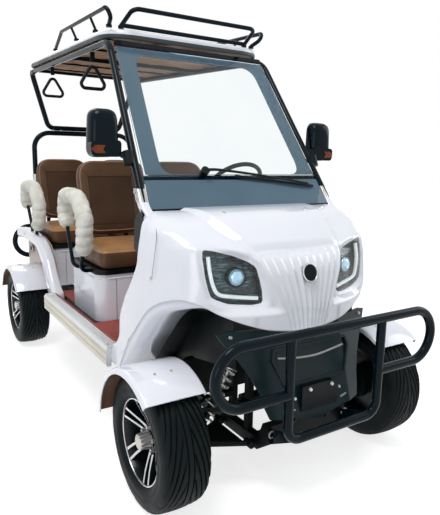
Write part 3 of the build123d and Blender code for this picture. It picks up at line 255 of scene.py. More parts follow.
def dress(material, *names):
    """Gives CAD nodes their finish."""
    for name in names:
        nodes[name].data.materials.clear()
        nodes[name].data.materials.append(material)


chassis_paint = finish(
    "chassis_paint", (0.002, 0.004, 0.0045), (0.005, 0.008, 0.008), 0.4, 0.6, 9, 300, 0.15, IOR=1.2
)
zinc_steel = finish(
    "zinc_steel", (0.6, 0.6, 0.58), (0.45, 0.45, 0.44), 0.25, 0.4, 14, 500, 0.06, Metallic=1.0
)
cast_grey = finish("cast_grey", (0.3, 0.3, 0.3), (0.24, 0.24, 0.24), 0.45, 0.6, 10, 400, 0.2, Metallic=0.6)
dress(chassis_paint, "frame_rails", "frame_members", "shock_towers", "front_wishbones", "rear_axle")
dress(chassis_paint, "knuckle_left", "knuckle_right", "steering_rack_housing")
dress(zinc_steel, "track_rods")
dress(cast_grey, "drive_motor")

# Floor: a black moulded pan over the batteries, with red ribbed mats laid in it and two pedals.

black_plastic = finish(
    "black_plastic", (0.002, 0.0045, 0.0055), (0.004, 0.007, 0.008), 0.35, 0.5, 6, 900, 0.2, IOR=1.25
)
red_mat = finish("red_mat", (0.33, 0.055, 0.04), (0.24, 0.045, 0.035), 0.55, 0.7, 6, 300, 0.3)
dress(black_plastic, "floor_pan", "battery_pack", "wheel_well_liners")
dress(red_mat, "floor_mats")
dress(chassis_paint, "pedals")

# Bumpers, hoops and windscreen posts: bent round tube, welded and enamelled gloss black.

black_enamel = finish(
    "black_enamel", (0.0008, 0.0065, 0.011), (0.0012, 0.008, 0.013), 0.12, 0.2, 5, 400, 0.01, IOR=1.28,
    Specular_IOR_Level=0.3
)
dress(black_enamel, "front_bumper", "rear_bumper", "screen_posts", "windscreen_bars")
dress(black_enamel, "rear_hoop_lower", "rear_hoop_upper")

# Dashboard and steering: a black moulded dash, a jacketed column and a moulded wheel.

dress(black_plastic, "dashboard", "steering_column", "steering_wheel")
# Front cowl: one glass-fibre moulding with a gel coat, laid up in a mould and screwed to the frame.
# A raised hood with creased sides ends in a lip over a fluted nose, and the sides sweep back
# over the front wheels to the door openings.

white_lacquer = finish(
    "white_lacquer", (0.86, 0.87, 0.93), (0.82, 0.84, 0.91), 0.1, 0.16, 3, 500, 0.01, Coat_Weight=0.6,
    Coat_Roughness=0.04
)


def steady_curve(rows):
    """A smooth curve through rows of (x, y) that never overshoots them, as a function of x."""
    xs = [row[0] for row in rows]
    ys = [row[1] for row in rows]
    slopes = [(ys[i + 1] - ys[i]) / (xs[i + 1] - xs[i]) for i in range(len(xs) - 1)]
    tangents = [slopes[0]]
    for left, right in zip(slopes, slopes[1:]):
        tangents.append(0 if left * right <= 0 else 2 * left * right / (left + right))
    tangents.append(slopes[-1])

    def value(x):
        x = min(max(x, xs[0]), xs[-1])
        i = max(k for k in range(len(xs) - 1) if xs[k] <= x)
        span = xs[i + 1] - xs[i]
        t = (x - xs[i]) / span
        return (
            (2 * t**3 - 3 * t**2 + 1) * ys[i]
            + (t**3 - 2 * t**2 + t) * span * tangents[i]
            + (3 * t**2 - 2 * t**3) * ys[i + 1]
            + (t**3 - t**2) * span * tangents[i + 1]
        )

    return value


def smooth_step(value):
    """0 below 0, 1 above 1, and a soft rise between."""
    value = min(max(value, 0), 1)
    return value * value * (3 - 2 * value)


COWL_BELT, COWL_TOP = 0.78, 1.156
# Half outline at the belt: distance round from the middle, X and Y
BELT_X = steady_curve(
    [
        (0, 0), (0.192, 0.19), (0.373, 0.36), (0.513, 0.475), (0.642, 0.55), (0.739, 0.585), (0.87, 0.598),
        (1.13, 0.6)
    ]
)
BELT_Y = steady_curve(
    [
        (0, -1.395), (0.192, -1.37), (0.373, -1.312), (0.513, -1.235), (0.642, -1.13), (0.739, -1.035),
        (0.87, -0.905), (1.13, -0.645)
    ]
)
# The line that the surface closes to under the windscreen
TOP_X = steady_curve(
    [(0, 0), (0.192, 0.175), (0.373, 0.33), (0.513, 0.43), (0.642, 0.485), (0.739, 0.502), (1.13, 0.506)]
)
TOP_Y = steady_curve(
    [(0, -0.928), (0.4, -0.928), (0.513, -0.93), (0.642, -0.938), (0.739, -0.945), (1.13, -0.945)]
)
# How far the surface has closed from belt to top, for its share of the height, at places round
CLOSING = [
    (
        0,
        [
            (0, 0), (0.186, 0.021), (0.399, 0.058), (0.492, 0.092), (0.545, 0.122), (0.566, 0.143),
            (0.59, 0.182), (0.617, 0.22), (0.665, 0.289), (0.745, 0.418), (0.851, 0.589), (0.957, 0.824),
            (1, 1)
        ]
    ),
    (
        0.28,
        [
            (0, 0), (0.4, 0.035), (0.572, 0.1), (0.7, 0.26), (0.811, 0.44), (0.94, 0.66), (0.985, 0.78),
            (1, 1)
        ]
    ),
    (
        0.45,
        [(0, 0), (0.5, 0.04), (0.66, 0.09), (0.72, 0.2), (0.8, 0.37), (0.93, 0.65), (0.985, 0.85), (1, 1)]
    ),
    (
        0.62,
        [
            (0, 0), (0.34, 0.11), (0.52, 0.17), (0.7, 0.24), (0.8, 0.3), (0.86, 0.42), (0.945, 0.64),
            (0.985, 0.84), (1, 1)
        ]
    ),
    (0.76, [(0, 0), (0.34, 0.12), (0.52, 0.18), (0.78, 0.36), (0.88, 0.5), (0.96, 0.78), (1, 1)]),
]
CLOSING = [(around, steady_curve(rows)) for around, rows in CLOSING]
# Half width of nose and hood at a height of the surface under them
HOOD_HALF = steady_curve(
    [
        (0.68, 0.09), (0.7, 0.095), (0.85, 0.15), (0.97, 0.205), (1.0, 0.216), (1.02, 0.225), (1.05, 0.262),
        (1.085, 0.3), (1.12, 0.33), (1.15, 0.365), (1.156, 0.4)
    ]
)
# Height of the raised hood along the vehicle
HOOD_Z = steady_curve(
    [
        (-1.3, 1.0), (-1.292, 1.011), (-1.268, 1.046), (-1.252, 1.057), (-1.2, 1.09), (-1.13, 1.128),
        (-1.07, 1.152), (-1.0, 1.164), (-0.92, 1.166)
    ]
)
# Lower edge along the vehicle, and the door opening's edge up its height
LOWER_EDGE = steady_curve(
    [
        (-1.41, 0.688), (-1.395, 0.692), (-1.345, 0.738), (-1.3, 0.782), (-1.25, 0.822), (-1.2, 0.834),
        (-1.14, 0.82), (-1.082, 0.788), (-1.02, 0.728), (-0.965, 0.663), (-0.905, 0.6), (-0.85, 0.54),
        (-0.815, 0.48), (-0.8, 0.436), (-0.6, 0.43)
    ]
)
DOOR_Y = steady_curve(
    [
        (0.43, -0.698), (0.505, -0.7), (0.546, -0.762), (0.6, -0.8), (0.668, -0.806), (0.775, -0.862),
        (0.888, -0.935), (0.96, -0.966), (1.05, -0.966), (1.146, -0.945)
    ]
)
FLUTES = 5  # each side of the middle
FLUTE_DEPTH = 0.006
FLUTE_COLUMNS = 9  # columns to a flute
SIDE_COLUMNS = 80
COWL_ROWS = 120
NOSE_STEP = 0.024  # how far the nose stands forward of the lamps
LAMP_POCKET, LAMP_RIM = 0.016, 0.026  # depth of each lamp's pocket and width of its sloping rim
# Lamp opening seen from the front, X and Z
LAMP_CORNERS = [
    (0.192, 0.808), (0.22, 0.966), (0.3, 1.003), (0.43, 1.038), (0.424, 0.93), (0.406, 0.846),
    (0.335, 0.816)
]


def trim_corners(points, share):
    """Cuts every corner of a closed outline back by a share of its sides."""
    trimmed = []
    for here, after in zip(points, points[1:] + points[:1]):
        trimmed.append(tuple(h + (a - h) * share for h, a in zip(here, after)))
        trimmed.append(tuple(a + (h - a) * share for h, a in zip(here, after)))
    return trimmed


lamp_outline = trim_corners(trim_corners(LAMP_CORNERS, 0.14), 0.28)
lamp_sides = []  # a point of each side and the direction out of the outline
for (x, z), (next_x, next_z) in zip(lamp_outline, lamp_outline[1:] + lamp_outline[:1]):
    side_length = math.hypot(next_x - x, next_z - z)
    lamp_sides.append((x, z, -(next_z - z) / side_length, (next_x - x) / side_length))


def outside_lamp(x, z):
    """Distance outside the lamp opening seen from the front; negative inside."""
    return max((x - at_x) * out_x + (z - at_z) * out_z for at_x, at_z, out_x, out_z in lamp_sides)


def distance_to_y(y):
    """Distance round the belt at which its Y is y."""
    low, high = 0.5, 1.13
    for _ in range(24):
        middle = (low + high) / 2
        if BELT_Y(middle) < y:
            low = middle
        else:
            high = middle
    return low


DOOR_DISTANCE = steady_curve([(z / 100, distance_to_y(DOOR_Y(z / 100))) for z in range(42, 116, 2)])


def closing(around, share):
    """How far the surface has closed at a share of its height."""
    for (low, low_curve), (high, high_curve) in zip(CLOSING, CLOSING[1:]):
        if around <= high:
            mix = (around - low) / (high - low)
            return low_curve(share) * (1 - mix) + high_curve(share) * mix
    return CLOSING[-1][1](share)


def cowl_base(column, z):
    """A point of the plain surface: column 0 to 1 is nose and hood, 1 to 2 the shoulder and side."""
    half = HOOD_HALF(z)
    if column <= 1:
        around = column * half
    else:
        around = half + (column - 1) * (DOOR_DISTANCE(z) - half)
    share = min(max((z - COWL_BELT) / (COWL_TOP - COWL_BELT), 0), 1)
    close = closing(around, share)
    x = BELT_X(around) * (1 - close) + TOP_X(around) * close
    y = BELT_Y(around) * (1 - close) + TOP_Y(around) * close
    return Vector((x, y, z))


def cowl_point(column, z):
    """A point of the finished surface, with the hood raised and the nose stepped and fluted."""
    point = cowl_base(column, z)
    inside_hood = min(max((1.055 - column) / 0.085, 0), 1)
    # Nose
    nose_height = smooth_step((1.014 - z) / 0.014)
    if column <= 1:
        wave = abs(math.sin(math.pi * FLUTES * column))
        edge = smooth_step((1 - column) / 0.06)
        point.y += FLUTE_DEPTH * wave * edge * nose_height * smooth_step((z - 0.69) / 0.03)
    else:
        half = HOOD_HALF(z)
        out = smooth_step((point.x - half) / 0.03)
        fade = 1 - smooth_step((point.x - 0.3) / 0.16)
        level = smooth_step((1.03 - z) / 0.04) * smooth_step((z - 0.772) / 0.03)
        point.y += NOSE_STEP * out * fade * level
        point.y += LAMP_POCKET * smooth_step(1 - outside_lamp(point.x, point.z) / LAMP_RIM)
    # Hood
    lift = max(HOOD_Z(point.y) - point.z, 0) * inside_hood
    lift *= smooth_step((point.y + 1.3) / 0.01)
    point.z += lift
    return point


def cowl_low(column):
    """Height of the lower edge at a column."""
    low, high = 0.42, 0.86
    for _ in range(24):
        middle = (low + high) / 2
        if LOWER_EDGE(cowl_base(column, middle).y) > middle:
            low = middle
        else:
            high = middle
    return low


def cowl_column(column):
    """Evenly spaced points up a column, from the lower edge to the windscreen."""
    low = cowl_low(column)
    steps = 240
    fine = [cowl_point(column, low + (COWL_TOP - low) * i / steps) for i in range(steps + 1)]
    run = [0]
    for before, after in zip(fine, fine[1:]):
        run.append(run[-1] + (after - before).length)
    points, i = [], 0
    for row in range(COWL_ROWS + 1):
        target = run[-1] * row / COWL_ROWS
        while i < steps - 1 and run[i + 1] < target:
            i += 1
        share = (target - run[i]) / max(run[i + 1] - run[i], 1e-9)
        points.append(fine[i].lerp(fine[i + 1], min(max(share, 0), 1)))
    return points


def grid_faces(columns, rows, start=0, closed=False):
    """Quads of a grid of vertices numbered column by column."""
    faces = []
    for c in range(columns if closed else columns - 1):
        after = (c + 1) % columns
        for r in range(rows - 1):
            faces.append(
                (
                    start + c * rows + r, start + after * rows + r, start + after * rows + r + 1,
                    start + c * rows + r + 1
                )
            )
    return faces


def point_outwards(obj, merge=1e-5):
    """Joins doubled points and turns every face outwards."""
    bm = bmesh.new()
    bm.from_mesh(obj.data)
    bmesh.ops.remove_doubles(bm, verts=bm.verts, dist=merge)
    bmesh.ops.recalc_face_normals(bm, faces=bm.faces)
    bm.to_mesh(obj.data)
    bm.free()


def flip_if(obj, direction):
    """Turns all faces over if the largest of them faces away from a direction."""
    largest = max(obj.data.polygons, key=lambda p: p.area)
    if largest.normal.dot(Vector(direction)) < 0:
        obj.data.flip_normals()


half_columns = [c / (FLUTES * FLUTE_COLUMNS) for c in range(FLUTES * FLUTE_COLUMNS + 1)]
half_columns += [1 + (c + 1) / SIDE_COLUMNS for c in range(SIDE_COLUMNS)]
left_side = [cowl_column(c) for c in half_columns]
# Return flanges: behind the lower edge, and down the door opening's edge
ARCH_CENTRE_Y, ARCH_CENTRE_Z = -1.18, 0.278
FLANGE_REACH, FLANGE_WIDTH = 0.044, 0.15  # towards the wheel, and in from the side
for c, points in enumerate(left_side):
    edge = points[0]
    arch = smooth_step((edge.y + 1.3) / 0.12)
    low = smooth_step((0.5 - edge.z) / 0.09)
    to_wheel = Vector((0, ARCH_CENTRE_Y - edge.y, ARCH_CENTRE_Z - edge.z)).normalized()
    to_wheel = to_wheel * FLANGE_REACH * arch * (1 - low)
    flange = [edge + Vector((-0.002, 0.002, 0.001)), edge + Vector((-0.005, 0.003, 0.001)) + to_wheel * 0.5]
    flange.append(edge + Vector((-0.009, 0.003, 0.002)) + to_wheel)
    flange.append(edge + Vector((-FLANGE_WIDTH * arch - 0.012, 0.003, 0.003)) + to_wheel)
    left_side[c] = flange[::-1] + points
last = left_side[-1]
left_side.append([p + Vector((-0.008, 0.006, 0)) for p in last])
left_side.append([p + Vector((-0.05, 0.004, 0)) for p in last])
whole = [[Vector((-p.x, p.y, p.z)) for p in points] for points in left_side[:0:-1]] + left_side
rows = len(whole[0])
FLANGE_ROWS, MOST_JUMP = 4, 0.06
cowl_faces = grid_faces(len(whole), rows)
# The narrow foot of each wing: one column's edge lies far above its neighbour's, so the two are
# joined by triangles from the neighbour's nearest point up
for c in range(len(whole) - 1):
    high, low = sorted((c, c + 1), key=lambda column: -whole[column][FLANGE_ROWS].z)
    if whole[high][FLANGE_ROWS].z - whole[low][FLANGE_ROWS].z < MOST_JUMP:
        continue
    dropped = range(c * rows, (c + 1) * rows)
    cowl_faces = [
        f for f in cowl_faces if f[0] not in dropped or f[0] % rows < FLANGE_ROWS
    ]
    i, edge = FLANGE_ROWS, whole[high][FLANGE_ROWS]
    j = min(range(i, rows), key=lambda row: (whole[low][row] - edge).length)

    def way_round(row):
        """Which way a triangle from the higher edge to two points of the lower column turns."""
        return (whole[low][row] - edge).cross(whole[low][row + 1] - edge).x

    for row in range(FLANGE_ROWS, j):
        if way_round(row) * way_round(j) < 0:
            break
        cowl_faces.append((high * rows + i, low * rows + row, low * rows + row + 1))
    while i < rows - 1 or j < rows - 1:
        up_high = (whole[high][min(i + 1, rows - 1)] - whole[low][j]).length
        up_low = (whole[low][min(j + 1, rows - 1)] - whole[high][i]).length
        if j == rows - 1 or (i < rows - 1 and up_high < up_low):
            cowl_faces.append((high * rows + i, low * rows + j, high * rows + i + 1))
            i += 1
        else:
            cowl_faces.append((high * rows + i, low * rows + j, low * rows + j + 1))
            j += 1
cowl = new_object(
    "front_cowl_moulding", [p for points in whole for p in points], cowl_faces, [white_lacquer]
)
point_outwards(cowl)
flip_if(cowl, (0, -1, 0.3))

# The lamp openings are cut through the moulding, and each piece cut out is kept to shape the lens


def cut_lamp_opening(bm, side):
    """Cuts a lamp opening and returns the piece's points and faces."""
    for at_x, at_z, out_x, out_z in lamp_sides:
        near = []
        for face in bm.faces:
            centre = face.calc_center_median()
            if abs(centre.x) > 0.17 and centre.y < -1.1 and centre.x * side > 0:
                if abs(outside_lamp(abs(centre.x), centre.z)) < 0.02:
                    if abs((abs(centre.x) - at_x) * out_x + (centre.z - at_z) * out_z) < 0.014:
                        near.append(face)
        parts = set(near) | {e for f in near for e in f.edges} | {v for f in near for v in f.verts}
        bmesh.ops.bisect_plane(
            bm, geom=list(parts), dist=1e-6, plane_co=(side * at_x, 0, at_z), plane_no=(
                side * out_x, 0, out_z
            )
        )
    piece = []
    for face in bm.faces:
        centre = face.calc_center_median()
        if centre.x * side > 0 and centre.y < -1.15 and outside_lamp(abs(centre.x), centre.z) < -1e-5:
            piece.append(face)
    bm.verts.index_update()
    points = {v.index: v.co.copy() for f in piece for v in f.verts}
    order = {index: k for k, index in enumerate(points)}
    faces = [[order[v.index] for v in f.verts] for f in piece]
    bmesh.ops.delete(bm, geom=piece, context="FACES")
    return list(points.values()), faces


bm = bmesh.new()
bm.from_mesh(cowl.data)
lamp_pieces = {side: cut_lamp_opening(bm, side) for side in (-1, 1)}
bm.to_mesh(cowl.data)
bm.free()
cowl.data.shade_smooth()
wall = cowl.modifiers.new("wall", "SOLIDIFY")
wall.thickness = 0.004
wall.offset = -1
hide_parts("front_cowl")
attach(cowl, "chassis")


def loft(name, rings, materials, body="chassis", around=True, caps=True, sharp=38, slots=None):
    """A closed skin over rings that have the same number of points; slots gives each strip's material."""
    rows = len(rings[0])
    faces = []
    for k in range(len(rings) - 1):
        for i in range(rows if around else rows - 1):
            j = (i + 1) % rows
            faces.append((k * rows + i, k * rows + j, (k + 1) * rows + j, (k + 1) * rows + i))
    if caps:
        faces += [tuple(range(rows)), tuple((len(rings) - 1) * rows + i for i in range(rows))]
    obj = new_object(name, [p for ring in rings for p in ring], faces, materials, body)
    if slots:
        for polygon in obj.data.polygons[: rows * (len(rings) - 1)]:
            polygon.material_index = slots[polygon.index % rows]
    point_outwards(obj)
    obj.data.set_sharp_from_angle(angle=math.radians(sharp))
    return obj


def tube(name, path, radius, materials, body="chassis", sides=12, flat=1.0, closed=False):
    """A round bar along a path; radius may be a function of the share of the path."""
    path = [Vector(p) for p in path]
    rings, normal = [], None
    for i, place in enumerate(path):
        before = path[i - 1] if i or closed else place
        after = path[(i + 1) % len(path)] if i < len(path) - 1 or closed else place
        along = (after - before).normalized()
        if normal is None:
            normal = along.orthogonal().normalized()
        normal = (normal - along * normal.dot(along)).normalized()
        across = along.cross(normal)
        size = radius(i / (len(path) - 1)) if callable(radius) else radius
        turns = [2 * math.pi * k / sides for k in range(sides)]
        rings.append([place + (normal * math.cos(t) + across * math.sin(t) * flat) * size for t in turns])
    if closed:
        rings.append(rings[0])
    return loft(name, rings, materials, body, caps=not closed)


def smooth_path(points, steps=8, closed=False):
    """A rounded path through points."""
    points = [Vector(p) for p in points]
    spans = len(points) if closed else len(points) - 1
    path = []
    for i in range(spans):
        b, c = points[i], points[(i + 1) % len(points)]
        a = points[i - 1] if i or closed else b
        d = points[(i + 2) % len(points)] if i < spans - 1 or closed else c
        for step in range(steps):
            t = step / steps
            path.append(
                0.5 * (
                    2 * b + (c - a) * t + (
                        2 * a - 5 * b + 4 * c - d
                    ) * t * t + (3 * b - a - 3 * c + d) * t**3
                )
            )
    return path if closed else path + [points[-1]]


def rounded(points, radius, steps=6):
    """A closed outline of 2-D points with every corner rounded."""
    outline = []
    for i, corner in enumerate(points):
        corner = Vector(corner)
        to_before = Vector(points[i - 1]) - corner
        to_after = Vector(points[(i + 1) % len(points)]) - corner
        start = corner + to_before.normalized() * min(radius, to_before.length * 0.45)
        end = corner + to_after.normalized() * min(radius, to_after.length * 0.45)
        for k in range(steps + 1):
            t = k / steps
            outline.append(start * (1 - t) ** 2 + corner * 2 * t * (1 - t) + end * t * t)
    return outline


# Screen pillar feet: the moulding runs up round each post as a boxed foot, and a clamp plate with
# two screws closes it. An open seam and a screw part the foot from the side of the cowl.

FOOT_RINGS = [  # centre X, Y, Z, half width, half depth
    (0.486, -0.992, 1.03, 0.02, 0.036),
    (0.5, -0.968, 1.09, 0.021, 0.036),
    (0.512, -0.936, 1.135, 0.021, 0.032),
    (0.52, -0.905, 1.17, 0.021, 0.026),
    (0.521, -0.89, 1.192, 0.021, 0.024),
]
PLATE_RINGS = [(0.521, -0.89, 1.19, 0.023, 0.024), (0.518, -0.85, 1.246, 0.022, 0.023)]
KICK_PANEL = [
    (-0.95, 1.11), (-0.87, 1.1), (-0.83, 1.04), (-0.82, 0.9), (-0.83, 0.7), (-0.79, 0.56), (-0.86, 0.56),
    (-0.93, 0.8)
]
panel_grey = finish("panel_grey", (0.5, 0.51, 0.52), (0.44, 0.45, 0.46), 0.35, 0.45, 4, 400, 0.05)
SEAM = [(0.506, -0.975, 1.143), (0.541, -1.066, 1.072), (0.562, -1.084, 0.972), (0.569, -1.078, 0.905)]
for side in (-1, 1):
    for name, rings, finish_used in (
        ("pillar_foot", FOOT_RINGS, white_lacquer),
        ("pillar_clamp", PLATE_RINGS, zinc_steel),
    ):
        sections = []
        for x, y, z, half_x, half_y in rings:
            corners = [(-half_x, -half_y), (half_x, -half_y), (half_x, half_y), (-half_x, half_y)]
            sections.append([(side * (x + p.x), y + p.y, z) for p in rounded(corners, 0.014)])
        loft(f"{name}_{side}", sections, [finish_used])
    for number, z in enumerate((1.205, 1.232)):
        y = -0.88 + (z - 1.2) * 0.71
        tube(
            f"clamp_screw_{side}_{number}", [(side * 0.538, y, z), (side * 0.546, y, z)], 0.006,
            [zinc_steel]
        )
    seam_path = smooth_path([(side * x, y, z) for x, y, z in SEAM])
    tube(f"cowl_seam_{side}", seam_path, 0.0013, [cast_grey], sides=6)
    kick = [(y, z) for y, z in KICK_PANEL]
    loft(f"kick_panel_{side}", [[(side * x, y, z) for y, z in kick] for x in (0.478, 0.486)], [panel_grey])

# Screws and bolts of the bodywork: pressed pan heads, set on their places by one Geometry Nodes
# tree that turns each head to face out of the surface it holds.

fastener_tree = bpy.data.node_groups.new("fasteners", "GeometryNodeTree")
fastener_tree.interface.new_socket(name="Geometry", in_out="INPUT", socket_type="NodeSocketGeometry")
for label, value in (("Head Radius", 0.006), ("Head Height", 0.003)):
    fastener_tree.interface.new_socket(name=label, in_out="INPUT", socket_type=FLOAT).default_value = value
fastener_tree.interface.new_socket(
    name="Sides", in_out="INPUT", socket_type="NodeSocketInt"
).default_value = 16
fastener_tree.interface.new_socket(name="Finish", in_out="INPUT", socket_type="NodeSocketMaterial")
fastener_tree.interface.new_socket(name="Geometry", in_out="OUTPUT", socket_type="NodeSocketGeometry")
given = fastener_tree.nodes.new("NodeGroupInput")
made = fastener_tree.nodes.new("NodeGroupOutput")
head = fastener_tree.nodes.new("GeometryNodeMeshCone")
head.inputs["Side Segments"].default_value = 3
narrow_top = fastener_tree.nodes.new("ShaderNodeMath")
narrow_top.operation = "MULTIPLY"
narrow_top.inputs[1].default_value = 0.7
aim = fastener_tree.nodes.new("GeometryNodeInputNamedAttribute")
aim.data_type = "FLOAT_VECTOR"
aim.inputs["Name"].default_value = "aim"
turn_to = fastener_tree.nodes.new("FunctionNodeAlignRotationToVector")
turn_to.axis = "Z"
set_on = fastener_tree.nodes.new("GeometryNodeInstanceOnPoints")
realize = fastener_tree.nodes.new("GeometryNodeRealizeInstances")
paint = fastener_tree.nodes.new("GeometryNodeSetMaterial")
wire = fastener_tree.links.new
wire(given.outputs["Sides"], head.inputs["Vertices"])
wire(given.outputs["Head Radius"], head.inputs["Radius Bottom"])
wire(given.outputs["Head Radius"], narrow_top.inputs[0])
wire(narrow_top.outputs[0], head.inputs["Radius Top"])
wire(given.outputs["Head Height"], head.inputs["Depth"])
wire(aim.outputs["Attribute"], turn_to.inputs["Vector"])
wire(given.outputs["Geometry"], set_on.inputs["Points"])
wire(head.outputs["Mesh"], set_on.inputs["Instance"])
wire(turn_to.outputs[0], set_on.inputs["Rotation"])
wire(set_on.outputs[0], realize.inputs[0])
wire(realize.outputs[0], paint.inputs["Geometry"])
wire(given.outputs["Finish"], paint.inputs["Material"])
wire(paint.outputs[0], made.inputs[0])


def run_tree(tree, name, obj, settings, body):
    """Runs a Geometry Nodes tree on an object and keeps what it makes as one plain mesh."""
    modifier = obj.modifiers.new("tree", "NODES")
    modifier.node_group = tree
    for socket in tree.interface.items_tree:
        if socket.in_out == "INPUT" and socket.name in settings:
            modifier[socket.identifier] = settings[socket.name]
    obj.update_tag()
    evaluated = obj.evaluated_get(bpy.context.evaluated_depsgraph_get())
    mesh = bpy.data.meshes.new_from_object(evaluated)
    obj.modifiers.clear()
    obj.data = mesh
    mesh.name = name
    obj.name = name
    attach(obj, body)
    return obj


def fasteners(name, places, radius, height, finish_used, body="chassis", sides=16):
    """Screw heads at places, each given as a point and the direction it faces."""
    points = new_object(name, [place for place, _ in places], [])
    aims = points.data.attributes.new("aim", "FLOAT_VECTOR", "POINT")
    for entry, (_, facing) in zip(aims.data, places):
        entry.vector = Vector(facing).normalized()
    settings = {"Head Radius": radius, "Head Height": height, "Sides": sides, "Finish": finish_used}
    return run_tree(fastener_tree, name, points, settings, body)


def on_surface(obj, start, direction):
    """The place where a line meets an object's mesh, and its normal there."""
    hit, place, normal, _ = obj.ray_cast(Vector(start), Vector(direction).normalized())
    return (place, normal) if hit else (Vector(start), -Vector(direction).normalized())


bpy.context.view_layer.update()
hood_screws = [on_surface(cowl, (side * 0.225, -1.07, 1.4), (0, 0, -1)) for side in (-1, 1)]
fasteners("hood_screws", hood_screws, 0.01, 0.004, zinc_steel)
side_screws = [on_surface(cowl, (side * 0.8, -1.062, 0.905), (-side, 0, 0)) for side in (-1, 1)]
side_screws += [on_surface(cowl, (side * 0.255, -1.8, 0.76), (0, 1, 0)) for side in (-1, 1)]
fasteners("side_screws", side_screws[:2], 0.009, 0.004, zinc_steel)

# Badge: a plain black disc in a chrome ring on the middle of the nose
badge_place, badge_facing = on_surface(cowl, (0, -2.0, 0.927), (0, 1, 0))
badge_facing = Vector((0, badge_facing.y, badge_facing.z)).normalized()
badge_centre = badge_place + badge_facing * 0.002
tube(
    "badge_disc", [badge_centre - badge_facing * 0.004, badge_centre + badge_facing * 0.004], 0.035,
    [black_enamel], sides=48
)
across = Vector((1, 0, 0))
upward = badge_facing.cross(across)
ring_path = [
    badge_centre + badge_facing * 0.003 + (across * math.cos(t) + upward * math.sin(t)) * 0.037
    for t in [2 * math.pi * k / 48 for k in range(48)]
]
tube("badge_ring", ring_path, 0.0035, [zinc_steel], sides=8, closed=True)

# Headlamps: a clear moulded lens over a dark bowl of crinkled film, with an opal light guide bent
# round the outer and lower sides and a projector lens in a black ring.

clear_glass = finish(
    "clear_glass", (0.93, 0.96, 0.97), (0.9, 0.95, 0.96), 0.0, 0.02, 3, 100, 0.005,
    Transmission_Weight=1.0, IOR=1.3
)
crinkled_film = finish(
    "crinkled_film", (0.012, 0.022, 0.026), (0.03, 0.05, 0.055), 0.12, 0.3, 9, 60, 0.3, Metallic=0.3
)
tree = crinkled_film.node_tree
shader = tree.nodes["Principled BSDF"]
film_place = tree.nodes.new("ShaderNodeTexCoord")
film_stretch = tree.nodes.new("ShaderNodeMapping")
film_stretch.inputs["Scale"].default_value = (14, 14, 90)
film_folds = tree.nodes.new("ShaderNodeTexNoise")
film_folds.inputs["Scale"].default_value = 1
film_folds.inputs["Detail"].default_value = 6
film_folds.inputs["Distortion"].default_value = 1.5
# The lighter lines along the film's folds are painted glints, laid in as colour.
film_glint_lines = tree.nodes.new("ShaderNodeValToRGB")
for element, place_on, value in zip(film_glint_lines.color_ramp.elements, (0.53, 0.62), (0, 1)):
    element.position = place_on
    element.color = (value, value, value, 1)
film_glint_mix = tree.nodes.new("ShaderNodeMix")
film_glint_mix.data_type = "RGBA"
film_glint_mix.inputs["B"].default_value = (0.12, 0.22, 0.24, 1)
tree.links.new(film_place.outputs["Object"], film_stretch.inputs["Vector"])
tree.links.new(film_stretch.outputs[0], film_folds.inputs["Vector"])
tree.links.new(film_folds.outputs["Fac"], film_glint_lines.inputs[0])
tree.links.new(film_glint_lines.outputs[0], film_glint_mix.inputs["Factor"])
tree.links.new(shader.inputs["Base Color"].links[0].from_socket, film_glint_mix.inputs["A"])
tree.links.new(film_glint_mix.outputs["Result"], shader.inputs["Base Color"])
# The opal guide glows faintly: painted brightness that makes it whiter, not light from a lit lamp.
glowing_opal_white = finish(
    "glowing_opal_white", (0.85, 0.9, 0.9), (0.78, 0.84, 0.85), 0.2, 0.3, 20, 200, 0.02, Emission_Strength=0.25
)
projector_glass = finish(
    "projector_glass", (0.3, 0.62, 0.85), (0.6, 0.85, 1.0), 0.05, 0.1, 30, 100, 0.02, Metallic=0.5,
    Coat_Weight=1.0
)

